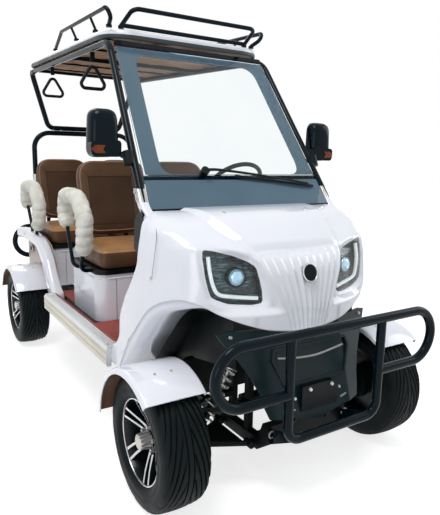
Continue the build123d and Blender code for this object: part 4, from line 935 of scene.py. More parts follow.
BOWL_DEPTH, LENS_THICK = 0.045, 0.003
GUIDE = [(0.4, 1.002), (0.398, 0.94), (0.386, 0.885), (0.366, 0.855), (0.315, 0.843), (0.212, 0.832)]
PROJECTOR = (0.292, 0.918)
for side in (-1, 1):
    points, faces = lamp_pieces[side]
    lens = new_object(f"lamp_lens_{side}", points, faces, [clear_glass], "chassis")
    point_outwards(lens)
    flip_if(lens, (0, -1, 0))
    depth = lens.modifiers.new("depth", "SOLIDIFY")
    depth.thickness = LENS_THICK
    depth.offset = -1
    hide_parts("headlamps")

    def behind_lens(x, z, distance):
        """A point behind the lens at a place seen from the front."""
        nearest = min(points, key=lambda p: (abs(p.x) - x) ** 2 + (p.z - z) ** 2)
        return Vector((side * x, nearest.y + distance, z))

    bm = bmesh.new()
    bm.from_mesh(lens.data)
    rim = [e for e in bm.edges if e.is_boundary]
    walls = bmesh.ops.extrude_edge_only(bm, edges=rim)["geom"]
    moved = {g for g in walls if isinstance(g, bmesh.types.BMVert)}
    for vert in moved:
        vert.co += Vector((-side * 0.012, BOWL_DEPTH, 0))
    bottom = [v for v in bm.verts if v not in moved]
    bm.faces.ensure_lookup_table()
    for face in [f for f in bm.faces if all(v not in moved for v in f.verts)]:
        face.normal_flip()
    bmesh.ops.translate(bm, verts=bottom, vec=(-side * 0.012, BOWL_DEPTH, 0))
    bmesh.ops.translate(bm, verts=list(moved), vec=(side * 0.012, 0.0045 - BOWL_DEPTH, 0))
    bowl_mesh = bpy.data.meshes.new(f"lamp_bowl_{side}")
    bm.to_mesh(bowl_mesh)
    bm.free()
    bowl = bpy.data.objects.new(f"lamp_bowl_{side}", bowl_mesh)
    bpy.context.scene.collection.objects.link(bowl)
    bowl_mesh.materials.clear()
    bowl_mesh.materials.append(crinkled_film)
    bowl_skin = bowl.modifiers.new("skin", "SOLIDIFY")
    bowl_skin.thickness = 0.002
    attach(bowl, "chassis")
    guide_path = smooth_path([behind_lens(x, z, 0.014) for x, z in GUIDE], 8)
    tube(f"light_guide_{side}", guide_path, 0.008, [glowing_opal_white])
    centre = behind_lens(*PROJECTOR, 0.02)
    facing = Vector((side * 0.25, -1, 0.1)).normalized()
    tube(
        f"projector_ring_{side}", [centre + facing * d for d in (-0.025, 0.008)], 0.04, [black_plastic],
        sides=32
    )
    dome = [centre + facing * (0.004 + 0.022 * math.sin(t * math.pi / 12)) for t in range(7)]
    tube(
        f"projector_{side}",
        dome,
        lambda share: 0.034 * max(math.cos(share * math.pi / 2), 0.02),
        [projector_glass],
        sides=32,
    )

# Windscreen: two laminated panes in a joint strip, the upper one with a smoked border printed
# round a clear pane with rounded corners, and a wiper parked along the strip.

tinted_glass = finish(
    "tinted_glass", (0.12, 0.2, 0.265), (0.105, 0.185, 0.25), 0.02, 0.05, 3, 100, 0.005,
    Transmission_Weight=0.25, IOR=1.35
)
dress(clear_glass, "windscreen_upper")
dress(tinted_glass, "windscreen_lower")
SCREEN_FOOT, SCREEN_HEAD = Vector((0.5, -0.928, 1.15)), Vector((0.436, -0.391, 1.902))
screen_out = Vector((0, -0.814, 0.581))  # forward and up, square to the glass


def on_screen(x, z, out=0.0):
    """A point on the windscreen's middle plane, or out in front of it."""
    share = (z - SCREEN_FOOT.z) / (SCREEN_HEAD.z - SCREEN_FOOT.z)
    return Vector((x, SCREEN_FOOT.y + share * (SCREEN_HEAD.y - SCREEN_FOOT.y), z)) + screen_out * out


BORDER_OUTER = [(-0.478, 1.3), (0.478, 1.3), (0.437, 1.9), (-0.437, 1.9)]
BORDER_INNER = [(-0.398, 1.302), (0.398, 1.302), (0.35, 1.865), (-0.35, 1.865)]
border_rings = []
for outline, corner in ((BORDER_OUTER, 0.004), (BORDER_INNER, 0.07)):
    border_rings.append(rounded(outline, corner, 10))
skins = []
for out in (0.0028, 0.0036):
    for outline in border_rings:
        skins.append([on_screen(p.x, p.y, out) for p in outline])
border = loft(
    "smoked_border", [
        skins[0], skins[2], skins[3], skins[1], skins[0]
    ], [tinted_glass], caps=False, sharp=20
)

WIPER = [(-0.186, 1.305), (-0.12, 1.31), (0.1, 1.287), (0.4, 1.245)]
wiper_path = smooth_path([on_screen(x, z, 0.028) for x, z in WIPER], 6)
tube("wiper_arm", wiper_path, lambda share: 0.009 - 0.003 * share, [black_plastic], flat=0.6)
blade = [on_screen(-0.02 + 0.46 * k / 8, 1.29 - 0.05 * k / 8, 0.014) for k in range(9)]
tube("wiper_blade", blade, 0.008, [black_plastic], flat=0.5)
hub = on_screen(WIPER[0][0], WIPER[0][1])
tube("wiper_hub", [hub, hub + screen_out * 0.036], 0.02, [black_plastic], sides=20)

# Roof: a moulded white shell with a dark rubber edge band, a gathered cloth lining held up by
# cross bars, and a black header under its front lip.

tan_lining = finish("tan_lining", (0.45, 0.27, 0.17), (0.36, 0.22, 0.14), 0.6, 0.75, 5, 400, 0.2)
ROOF_FRONT, ROOF_REAR = (-0.38, 1.945, 0.472), (1.37, 2.012, 0.442)  # Y, Z of the underside, half width
ROOF_CORNER = 0.17
edge_rubber = finish("edge_rubber", (0.014, 0.024, 0.026), (0.022, 0.034, 0.036), 0.35, 0.5, 5, 500, 0.1)


def roof_ring(inset, up):
    """The roof's outline drawn in by an inset and raised from the underside of its edge."""
    (front_y, front_z, front_half), (rear_y, rear_z, rear_half) = ROOF_FRONT, ROOF_REAR
    corners = [
        (-front_half + inset, front_y + inset),
        (front_half - inset, front_y + inset),
        (rear_half - inset, rear_y - inset),
        (-rear_half + inset, rear_y - inset),
    ]
    ring = []
    for p in rounded(corners, max(ROOF_CORNER - inset, 0.02), 12):
        share = (p.y - front_y) / (rear_y - front_y)
        ring.append(Vector((p.x, p.y, front_z + share * (rear_z - front_z) + up)))
    return ring


SHELL_RINGS = [
    (0.012, 0.04), (0.01, 0.022), (0.0, 0.02), (0.0, 0.03), (0.003, 0.038), (0.01, 0.044), (0.025, 0.049),
    (0.06, 0.054), (0.14, 0.056), (0.3, 0.057)
]
roof = loft("roof_moulding", [roof_ring(*r) for r in SHELL_RINGS], [white_lacquer], sharp=60)
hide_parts("roof_shell")
BAND_RINGS = [
    (0.014, 0.022), (0.014, 0.004), (0.01, 0.0), (0.003, 0.0), (-0.002, 0.004), (-0.002, 0.018),
    (0.0, 0.0225)
]
loft("roof_edge_band", [roof_ring(*r) for r in BAND_RINGS], [edge_rubber], sharp=60)

LINING_COLUMNS, LINING_ROWS = 60, 150
PLEAT, SAG = 0.007, 0.012
CROSS_BARS = [-0.3, 0.08, 0.46, 0.84, 1.22]
verts, faces = [], []
pleats = random.Random(4)
phases = [pleats.uniform(0, 6.28) for _ in range(6)]
for r in range(LINING_ROWS):
    v = r / (LINING_ROWS - 1)
    y = ROOF_FRONT[0] + 0.02 + v * (ROOF_REAR[0] - ROOF_FRONT[0] - 0.04)
    half = ROOF_FRONT[2] + v * (ROOF_REAR[2] - ROOF_FRONT[2]) - 0.018
    end = min(y - ROOF_FRONT[0], ROOF_REAR[0] - y)
    if end < ROOF_CORNER:
        half -= (ROOF_CORNER - math.sqrt(max(ROOF_CORNER**2 - (ROOF_CORNER - end) ** 2, 0))) * 0.8
    z = ROOF_FRONT[1] + v * (ROOF_REAR[1] - ROOF_FRONT[1]) + 0.012
    before = max([b for b in CROSS_BARS if b <= y], default=CROSS_BARS[0] - 0.1)
    after = min([b for b in CROSS_BARS if b > y], default=CROSS_BARS[-1] + 0.16)
    bay = (y - before) / (after - before)
    for c in range(LINING_COLUMNS):
        u = c / (LINING_COLUMNS - 1) * 2 - 1
        hang = SAG * math.sin(math.pi * min(max(bay, 0), 1))
        gather = PLEAT * math.sin(y * 95 + 2.2 * math.sin(u * 3 + phases[int(v * 5)]) + u * 4)
        gather += 0.5 * PLEAT * math.sin(y * 160 - u * 7 + phases[1])
        verts.append(
            (u * half, y, z - hang - gather * (0.35 + 0.65 * math.sin(math.pi * min(max(bay, 0), 1))))
        )
for r in range(LINING_ROWS - 1):
    for c in range(LINING_COLUMNS - 1):
        a = r * LINING_COLUMNS + c
        faces.append((a, a + LINING_COLUMNS, a + LINING_COLUMNS + 1, a + 1))
lining = new_object("roof_lining_cloth", verts, faces, [tan_lining], "chassis")
flip_if(lining, (0, 0, -1))
cloth_wall = lining.modifiers.new("wall", "SOLIDIFY")
cloth_wall.thickness = 0.002
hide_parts("roof_lining")
for number, y in enumerate(CROSS_BARS):
    v = (y - ROOF_FRONT[0]) / (ROOF_REAR[0] - ROOF_FRONT[0])
    half = ROOF_FRONT[2] + v * (ROOF_REAR[2] - ROOF_FRONT[2]) - 0.03
    z = ROOF_FRONT[1] + v * (ROOF_REAR[1] - ROOF_FRONT[1]) + 0.006
    tube(f"lining_bar_{number}", [(-half, y, z), (half, y, z)], 0.011, [black_enamel])

# Roof rack: small black tube on round feet. Grab handles: nylon straps with moulded triangles.

dress(black_enamel, "roof_rack")
dress(black_plastic, "grab_handles")

# Wheels: moulded tyres with long grooves round the tread, on black alloy rims whose lip and twin
# spokes are machined bright, with a castellated centre cap and five nuts.

tyre_rubber = finish(
    "tyre_rubber", (0.002, 0.0045, 0.0055), (0.004, 0.0075, 0.0085), 0.45, 0.6, 8, 500, 0.2, IOR=1.22
)
machined_alloy = finish(
    "machined_alloy", (0.62, 0.62, 0.64), (0.5, 0.5, 0.52), 0.2, 0.32, 12, 600, 0.05, Metallic=1.0
)
champagne = finish(
    "champagne", (0.62, 0.58, 0.49), (0.55, 0.52, 0.45), 0.3, 0.42, 3, 400, 0.04, Metallic=0.7
)
AXLES_Y, WHEEL_X, WHEEL_Z = (-1.18, 1.057), 0.591, 0.278
# distance across from the tread's middle and radius, then how much of the swept grooves' depth is cut there
TYRE_PROFILE = [
    (0.0, 0.2778, 0), (0.0085, 0.2776, 0), (0.0095, 0.2715, 0), (0.0135, 0.2715, 0), (0.0145, 0.2774, 0),
    (0.019, 0.2772, 0.8), (0.028, 0.2768, 1), (0.04, 0.2762, 1), (0.052, 0.2752, 1), (0.063, 0.274, 1),
    (0.073, 0.2724, 1),
    (0.081, 0.2702, 1), (0.088, 0.2655, 0.8), (0.093, 0.258, 0.5), (0.0965, 0.248, 0.2), (0.0995, 0.23, 0),
    (0.0998, 0.214, 0), (0.0985, 0.211, 0), (0.0995, 0.208, 0), (0.0985, 0.196, 0), (0.094, 0.184, 0),
    (0.086, 0.176, 0),
    (0.08, 0.172, 0), (0.07, 0.17, 0)
]
tyre_profile = [(-x, r, cut) for x, r, cut in TYRE_PROFILE[:0:-1]] + TYRE_PROFILE
TREAD_GROOVES, STEPS_PER_GROOVE = 18, 8
TREAD_SWEEP = 1.35  # radians that a groove runs round the tyre between the middle and the shoulder
GROOVE_DEPTH = 0.0065
TYRE_STEPS = 96

RIM_PROFILE = [  # distance out from the wheel's middle and radius, round the rim's section
    (0.079, 0.1722), (0.0835, 0.1715), (0.0835, 0.1665), (0.08, 0.1655), (0.07, 0.162), (0.03, 0.153),
    (-0.03, 0.15),
    (-0.07, 0.156), (-0.08, 0.166), (-0.082, 0.1722), (-0.074, 0.1722), (-0.066, 0.162), (0.06, 0.1645),
    (0.072, 0.17)
]
SPOKE_ANGLES = [22, 82, 137, 193, 252, 316]
# along a spoke: radius, distance out, half gap between the twin bars, bar width
SPOKE_STATIONS = [
    (0.165, 0.079, 0.0165, 0.012), (0.15, 0.074, 0.016, 0.0105), (0.12, 0.063, 0.0135, 0.0105),
    (0.09, 0.05, 0.011, 0.011), (0.062, 0.038, 0.0075, 0.013), (0.046, 0.032, 0.003, 0.016)
]
SPOKE_SWEEP = 7  # degrees that a spoke curves between rim and hub
rim_black = finish(
    "rim_black", (0.004, 0.008, 0.009), (0.007, 0.012, 0.013), 0.2, 0.3, 6, 500, 0.02,
    Specular_IOR_Level=0.3
)

for name, side, y in (
    ("front_left", 1, AXLES_Y[0]),
    ("front_right", -1, AXLES_Y[0]),
    ("rear_left", 1, AXLES_Y[1]),
    ("rear_right", -1, AXLES_Y[1]),
):
    body = f"wheel_{name}"
    centre = Vector((side * WHEEL_X, y, WHEEL_Z))
    rings = []
    steps = TREAD_GROOVES * STEPS_PER_GROOVE
    for step in range(steps + 1):
        ring = []
        for x, r, cut in tyre_profile:
            t = 2 * math.pi * (step % steps) / steps + TREAD_SWEEP * (min(abs(x), 0.09) / 0.09) ** 1.3
            if step % STEPS_PER_GROOVE < 2:
                r -= GROOVE_DEPTH * cut
            ring.append(centre + Vector((x, r * math.cos(t), r * math.sin(t))))
        rings.append(ring)
    tyre = loft(f"tyre_{name}_moulded", rings, [tyre_rubber], body, caps=False, sharp=50)
    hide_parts(f"tyre_{name}")
    out = Vector((side, 0, 0))
    rings = []
    for step in range(TYRE_STEPS + 1):
        t = 2 * math.pi * (step % TYRE_STEPS) / TYRE_STEPS
        rings.append(
            [centre + out * x + Vector((0, r * math.cos(t), r * math.sin(t))) for x, r in RIM_PROFILE]
        )
    rim = loft(
        f"rim_{name}_barrel", rings, [
            rim_black, machined_alloy
        ], body, caps=False, slots=[1, 1, 1] + [0] * 11
    )
    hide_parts(f"rim_{name}")
    for number, degrees in enumerate(SPOKE_ANGLES):
        for bar in (-1, 1):
            rings = []
            for k, (r, distance, gap, width) in enumerate(SPOKE_STATIONS):
                t = math.radians(degrees + SPOKE_SWEEP * (1 - (r - 0.046) / 0.119))
                radial = Vector((0, -math.cos(t) * side, math.sin(t)))
                crosswise = out.cross(radial)
                middle = centre + radial * r + out * distance + crosswise * bar * (gap + width / 2)
                half = crosswise * width / 2
                deep = out * 0.02
                rings.append([middle - half, middle + half, middle + half - deep, middle - half - deep])
            loft(
                f"spoke_{name}_{number}_{bar}", rings, [rim_black, machined_alloy], body,
                slots=[1, 0, 0, 0], sharp=30
            )
    face = centre + Vector((side * 0.03, 0, 0))

    def wheel_ring(distance, radius, count=48, notch=0.0):
        """Points round the axle, with every third pair drawn in by a notch."""
        return [
            face + out * distance + Vector((0, math.cos(t), math.sin(t))) * (
                radius - (notch if k % 4 < 2 else 0)
            )
            for k, t in enumerate(2 * math.pi * k / count for k in range(count))
        ]

    hub_rings = [(-0.06, 0.062), (-0.006, 0.062), (0.0, 0.058), (0.002, 0.05), (0.006, 0.04)]
    loft(f"hub_{name}", [wheel_ring(d, r) for d, r in hub_rings], [rim_black], body, sharp=40)
    back_rings = [(-0.05, 0.15), (-0.045, 0.15)]
    loft(f"drum_cover_{name}", [wheel_ring(d, r) for d, r in back_rings], [rim_black], body, sharp=40)
    cap_rings = [
        (0.01, 0.036, 0), (0.022, 0.036, 0.003), (0.05, 0.033, 0.003), (0.056, 0.03, 0), (0.058, 0.027, 0)
    ]
    loft(
        f"hub_cap_{name}", [wheel_ring(d, r, 48, n) for d, r, n in cap_rings], [zinc_steel], body, sharp=25
    )
    loft(f"hub_face_{name}", [wheel_ring(0.0575, 0.026), wheel_ring(0.0595, 0.024)], [champagne], body)
    nuts = []
    for k in range(5):
        t = 2 * math.pi * (k + 0.25) / 5
        nuts.append((face + out * 0.005 + Vector((0, math.cos(t), math.sin(t))) * 0.052, out))
    fasteners(f"wheel_nuts_{name}", nuts, 0.0105, 0.016, zinc_steel, body, 6)

# Mudguards: white fibre-reinforced mouldings with rolled edges, left brown underneath, screwed to
# their stays. The front pair turns with the wheels.

brown_underside = finish(
    "brown_underside", (0.24, 0.12, 0.075), (0.19, 0.095, 0.06), 0.4, 0.55, 6, 300, 0.15
)
GUARD_RADIUS = 0.293  # inside
# part of the width X from the inner edge, height above the inside radius; the last four lie underneath
GUARD_SECTION = [
    (0, -0.012), (0, 0.002), (0.004, 0.007), (0.012, 0.0095), (0.5, 0.011), (-0.012, 0.0095),
    (-0.004, 0.006),
    (-0.0001, 0), (-0.0001, -0.016), (-0.004, -0.016), (-0.005, 0.001), (-0.014, 0.005), (0.014, 0.005),
    (0.004, -0.012)
]
for name, body, x_in, x_out, y, first, last in (
    ("front_mudguard_left", "knuckle_left", 0.477, 0.733, AXLES_Y[0], 52, 176),
    ("front_mudguard_right", "knuckle_right", -0.477, -0.733, AXLES_Y[0], 52, 176),
    ("rear_mudguard_left", "chassis", 0.481, 0.718, AXLES_Y[1], 33, 161),
    ("rear_mudguard_right", "chassis", -0.481, -0.718, AXLES_Y[1], 33, 161),
):
    side = 1 if x_in > 0 else -1
    width = abs(x_out - x_in)
    rings = []
    for step in range(49):
        t = math.radians(first + (last - first) * step / 48)
        ring = []
        for across_guard, up in GUARD_SECTION:
            x = across_guard if 0 <= across_guard < 0.5 else width + across_guard
            x = width / 2 if across_guard == 0.5 else x
            r = GUARD_RADIUS + up
            ring.append(Vector((x_in + side * x, y - r * math.cos(t), WHEEL_Z + r * math.sin(t))))
        rings.append(ring)
    slots = [0] * 8 + [0, 1, 1, 1, 1, 0]
    guard = loft(f"{name}_moulded", rings, [white_lacquer, brown_underside], body, sharp=50, slots=slots)
    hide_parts(name if name.startswith("front") else "rear_mudguards")
    screws = []
    for share in (0.35, 0.62):
        t = math.radians(first + 26 if y < 0 else first + 40)
        radial = Vector((0, -math.cos(t), math.sin(t)))
        place = Vector((x_in + side * width * share, y, WHEEL_Z)) + radial * (GUARD_RADIUS + 0.011)
        screws.append((place, radial))
    fasteners(f"{name}_screws", screws, 0.006, 0.003, zinc_steel, body)

# Seats: foam in stretched vinyl. Each cushion is a boxed pad with a tan top, a welt and darker
# sides whose darkness is painted shade; each back is darker all over as painted shade, with a darker inset
# panel and lower band (the band's darkness painted shade), seams and tan piping round its face.

dress(white_lacquer, "seat_boxes")
dress(black_plastic, "seat_trays")
dress(chassis_paint, "seat_frames")
cushion_vinyl = finish("cushion_vinyl", (0.44, 0.225, 0.09), (0.36, 0.18, 0.07), 0.34, 0.46, 7, 420, 0.3)
# The backs and the cushions' sides: the cushion's tan leather darkened as painted shade from the roof and
# the sides turned away from the light.
shaded_vinyl = finish(
    "shaded_vinyl", (0.115, 0.06, 0.031), (0.095, 0.049, 0.025), 0.38, 0.5, 7, 420, 0.3, Specular_IOR_Level=0.2
)
# Darker still, for the inset panel and the lower band; the band's darkness is painted shade.
inset_and_shaded_band_vinyl = finish(
    "inset_and_shaded_band_vinyl", (0.07, 0.036, 0.019), (0.056, 0.028, 0.014), 0.42, 0.55, 7, 420, 0.3,
    Specular_IOR_Level=0.15
)
piping_tan = finish("piping_tan", (0.36, 0.2, 0.11), (0.3, 0.165, 0.09), 0.4, 0.5, 20, 500, 0.2)
VOXEL = 0.009
SIM_FRAMES, PRESSURE, MOST_SWELL = 20, 4.0, 0.02


def evaluate(obj):
    """Applies an object's modifiers to its mesh."""
    evaluated = obj.evaluated_get(bpy.context.evaluated_depsgraph_get())
    mesh = bpy.data.meshes.new_from_object(evaluated)
    obj.modifiers.clear()
    obj.data = mesh


def stuff(obj, held):
    """Remeshes a pad and blows it up as cloth, held where the function held says it is sewn or rests."""
    remesh = obj.modifiers.new("remesh", "REMESH")
    remesh.mode = "VOXEL"
    remesh.voxel_size = VOXEL
    evaluate(obj)
    before = [v.co.copy() for v in obj.data.vertices]
    sewn = obj.vertex_groups.new(name="sewn")
    for index, co in enumerate(before):
        if held(co):
            sewn.add([index], 1.0, "REPLACE")
    cloth = obj.modifiers.new("cloth", "CLOTH")
    cloth.settings.quality = 4
    cloth.settings.mass = 0.3
    cloth.settings.tension_stiffness = 12
    cloth.settings.compression_stiffness = 12
    cloth.settings.bending_stiffness = 2
    cloth.settings.use_pressure = True
    cloth.settings.uniform_pressure_force = PRESSURE
    cloth.settings.effector_weights.gravity = 0
    cloth.settings.vertex_group_mass = "sewn"
    for number in range(1, SIM_FRAMES + 1):
        bpy.context.scene.frame_set(number)
    evaluate(obj)
    obj.vertex_groups.clear()
    bpy.context.scene.frame_set(1)
    for vertex, start in zip(obj.data.vertices, before):
        move = vertex.co - start
        if move.length > MOST_SWELL:
            vertex.co = start + move.normalized() * MOST_SWELL
    smoother = obj.modifiers.new("smoother", "SMOOTH")
    smoother.factor = 0.5
    smoother.iterations = 3
    finer = obj.modifiers.new("finer", "SUBSURF")
    finer.levels = finer.render_levels = 1
    evaluate(obj)
    for polygon in obj.data.polygons:
        polygon.use_smooth = True


def pad_block(name, half_x, half_y, height, corner, edge):
    """A block with rounded corners and edges, standing on Z = 0."""
    rings = []
    for k in range(6):
        t = math.pi / 2 * k / 5
        rings.append((edge * (1 - math.sin(t)), edge * (1 - math.cos(t))))
    rings += [(inset, height - z) for inset, z in reversed(rings)]
    corners = [(-half_x, -half_y), (half_x, -half_y), (half_x, half_y), (-half_x, half_y)]
    sections = []
    for inset, z in rings:
        outline = rounded(corners, corner, 8)
        scale_x, scale_y = (half_x - inset) / half_x, (half_y - inset) / half_y
        sections.append([Vector((p.x * scale_x, p.y * scale_y, z)) for p in outline])
    obj = loft(name, sections, [], "chassis")
    obj.parent = None
    return obj


def near_segment(x, y, segments, distance):
    """Whether a point is close to one of some line segments."""
    for (ax, ay), (bx, by) in segments:
        length = math.hypot(bx - ax, by - ay)
        t = min(max(((x - ax) * (bx - ax) + (y - ay) * (by - ay)) / length**2, 0), 1)
        if math.hypot(x - ax - t * (bx - ax), y - ay - t * (by - ay)) < distance:
            return True
    return False


CUSHION_HALF_X, CUSHION_HALF_Y, CUSHION_HEIGHT = 0.212, 0.222, 0.13
cushion = pad_block("cushion_shape", CUSHION_HALF_X, CUSHION_HALF_Y, CUSHION_HEIGHT - 0.012, 0.05, 0.03)


def cushion_held(co):
    """The cushion's base and its top welt."""
    if co.z < 0.012:
        return True
    outside = max(abs(co.x) - CUSHION_HALF_X, abs(co.y) - CUSHION_HALF_Y)
    return abs(outside + 0.004) < 0.008 and abs(co.z - (CUSHION_HEIGHT - 0.034)) < 0.006


stuff(cushion, cushion_held)
# The sides below the welt take the darker vinyl as painted shade, and the lit top stays tan.
for polygon in cushion.data.polygons:
    polygon.material_index = 1 if polygon.center.z < CUSHION_HEIGHT - 0.036 else 0
BACK_HALF, BACK_HEIGHT, BACK_THICK = 0.196, 0.458, 0.08
back = pad_block("back_shape", BACK_HALF, BACK_HEIGHT / 2, BACK_THICK, 0.11, 0.026)
INSET_X, INSET_TOP, BAND = 0.138, 0.125, -0.17
BACK_SEAMS = [
    ((-INSET_X, BAND), (-INSET_X, INSET_TOP)),
    ((INSET_X, BAND), (INSET_X, INSET_TOP)),
    ((-INSET_X, INSET_TOP), (INSET_X, INSET_TOP)),
    ((-0.196, BAND), (0.196, BAND)),
    ((-INSET_X, INSET_TOP), (-0.168, 0.165)),
    ((INSET_X, INSET_TOP), (0.168, 0.165)),
]


def back_held(co):
    """The back's rear face and the seams of its inset panel."""
    return co.z < 0.01 or (co.z > BACK_THICK - 0.02 and near_segment(co.x, co.y, BACK_SEAMS, 0.006))


stuff(back, back_held)
# The inset panel and the lower band take the darkest vinyl, the band's darkness painted shade; the rest
# takes the darker vinyl, which is painted shade as well.
for polygon in back.data.polygons:
    x, y, z = polygon.center
    inner = abs(x) < INSET_X and BAND < y < INSET_TOP or y < BAND
    polygon.material_index = 1 if inner and z > 0.04 else 0


def seam_line(obj, points, radius, materials, name, lift=0.0):
    """A line of stitching or piping laid on a pad's face, in the pad's own axes."""
    path = []
    for (ax, ay), (bx, by) in zip(points, points[1:]):
        for k in range(13):
            x, y = ax + (bx - ax) * k / 12, ay + (by - ay) * k / 12
            hit, place, _, _ = obj.ray_cast(Vector((x, y, 0.4)), Vector((0, 0, -1)))
            if hit and (not path or (place - path[-1]).length > 0.002):
                path.append(place + Vector((0, 0, lift)))
    line = tube(name, path, radius, materials, "chassis", sides=6)
    line.parent = None
    return line


bpy.context.view_layer.update()
outline = [
    tuple(p)
    for p in rounded([(-0.186, -0.21), (0.186, -0.21), (0.186, 0.218), (-0.186, 0.218)], 0.1, 10)
]
back_lines = [
    seam_line(back, list(s), 0.0016, [black_plastic], f"seam_{n}") for n, s in enumerate(BACK_SEAMS)
]
back_lines.append(seam_line(back, outline + outline[:1], 0.0032, [piping_tan], "piping"))
welt = [(-0.196, -0.206), (0.196, -0.206), (0.196, 0.206), (-0.196, 0.206)]
welt = [tuple(p) for p in rounded(welt, 0.05, 8)]
cushion_lines = [seam_line(cushion, welt + welt[:1], 0.0026, [piping_tan], "welt")]


def place_copy(source, name, placing, materials, replaced=None):
    """A copy of a finished piece, with its place put into its mesh."""
    mesh = source.data.copy()
    mesh.transform(placing)
    material_of = [polygon.material_index for polygon in mesh.polygons]
    mesh.materials.clear()  # this puts every face back on the first material
    for material in materials:
        mesh.materials.append(material)
    mesh.polygons.foreach_set("material_index", material_of)
    obj = bpy.data.objects.new(name, mesh)
    bpy.context.scene.collection.objects.link(obj)
    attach(obj, "chassis")
    if replaced:
        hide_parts(replaced)
    return obj


SEAT_ROWS, SEAT_X = (-0.16, 0.82), 0.24
BACK_LEAN = math.radians(14)
for row, y in enumerate(SEAT_ROWS):
    for side in (-1, 1):
        label = f"{('front', 'rear')[row]}_{('right', 'left')[side > 0]}"
        on_tray = Matrix.Translation((side * SEAT_X, y + 0.205, 0.753))
        place_copy(
            cushion, f"cushion_{label}", on_tray, [cushion_vinyl, shaded_vinyl],
            "seat_cushions"
        )
        for line in cushion_lines:
            place_copy(line, f"cushion_{line.name}_{label}", on_tray, [cushion_vinyl])
        up = Vector((0, math.sin(BACK_LEAN), math.cos(BACK_LEAN)))
        forward = Vector((0, -math.cos(BACK_LEAN), math.sin(BACK_LEAN)))
        turned = Matrix((Vector((1, 0, 0)), up, forward)).transposed().to_4x4()
        foot = Vector((side * SEAT_X, y + 0.385, 0.89)) + up * (BACK_HEIGHT / 2 + 0.002)
        upright = Matrix.Translation(foot) @ turned
        place_copy(
            back, f"back_{label}", upright, [shaded_vinyl, inset_and_shaded_band_vinyl], "seat_backs"
        )
        for line in back_lines:
            used = line.data.materials[0]
            place_copy(line, f"back_{line.name}_{label}", upright, [used])
for obj in [cushion, back, *cushion_lines, *back_lines]:
    bpy.data.objects.remove(obj)

# Armrests: bent tubes bound with strips of undyed fleece, wound round and round so that each turn
# bulges over the next.

dress(black_enamel, "armrest_tubes")
fleece = finish(
    "fleece", (0.86, 0.85, 0.79), (0.7, 0.69, 0.6), 0.8, 0.95, 14, 260, 1.0, Specular_IOR_Level=0.2
)
ARM_X, SLEEVE_RADIUS, BULGE, TURNS = 0.535, 0.04, 0.007, 16
fuzz = random.Random(7)
for side in (-1, 1):
    for row, y in enumerate(SEAT_ROWS):
        bends = [(y + 0.35, 1.035), (y + 0.335, 1.13), (y + 0.29, 1.15), (y + 0.14, 1.15), (y + 0.08, 1.125),
                 (y + 0.015, 1.06), (y + 0.003, 1.03), (y + 0.014, 0.93)]
        rear_low = (y + 0.31, 0.97) if row == 0 else (y + 0.33, 1.0)
        front_low = (y + 0.045, 0.845) if row == 0 else (y + 0.07, 0.87)
        path = smooth_path([(side * ARM_X, *p) for p in [rear_low, *bends, front_low]], 18)
        run = [0.0]
        for before_place, after_place in zip(path, path[1:]):
            run.append(run[-1] + (after_place - before_place).length)
        shares = [r / run[-1] for r in run]
        rings = []
        for place, share in zip(path, shares):
            ends = min(share, 1 - share) / 0.035
            closed_end = math.sqrt(min(1, 0.35 + 0.65 * ends))
            i = shares.index(share)
            along = (path[min(i + 1, len(path) - 1)] - path[max(i - 1, 0)]).normalized()
            inward = along.cross(Vector((side, 0, 0))).normalized()
            ring = []
            for k in range(32):
                t = 2 * math.pi * k / 32
                turn = abs(math.sin(math.pi * TURNS * share + t / 2 + 0.35 * math.sin(9 * share + t)))
                size = (SLEEVE_RADIUS + BULGE * turn**0.4) * closed_end
                tuft = size * (1 + 0.02 * math.sin(5 * t + share * 40) + fuzz.uniform(-0.02, 0.02))
                ring.append(place + (inward * math.cos(t) + Vector((side, 0, 0)) * math.sin(t)) * tuft)
            rings.append(ring)
        sleeve = loft(f"armrest_sleeve_{row}_{side}", rings, [fleece], sharp=180)
        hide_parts("armrest_pads")

# Rear quarters: white mouldings like the cowl's wings, sweeping up from the steps and back over the
# rear wheels, with a beige inner panel and an oval lamp in each.

beige_panel = finish("beige_panel", (0.55, 0.45, 0.4), (0.5, 0.41, 0.37), 0.3, 0.4, 5, 400, 0.04)
red_lens = finish(
    "red_lens", (0.2, 0.02, 0.015), (0.12, 0.012, 0.01), 0.08, 0.15, 12, 200, 0.1, Coat_Weight=1.0
)
dress(beige_panel, "inner_quarters")
dress(red_lens, "marker_lamps")
dress(white_lacquer, "tail_panel")
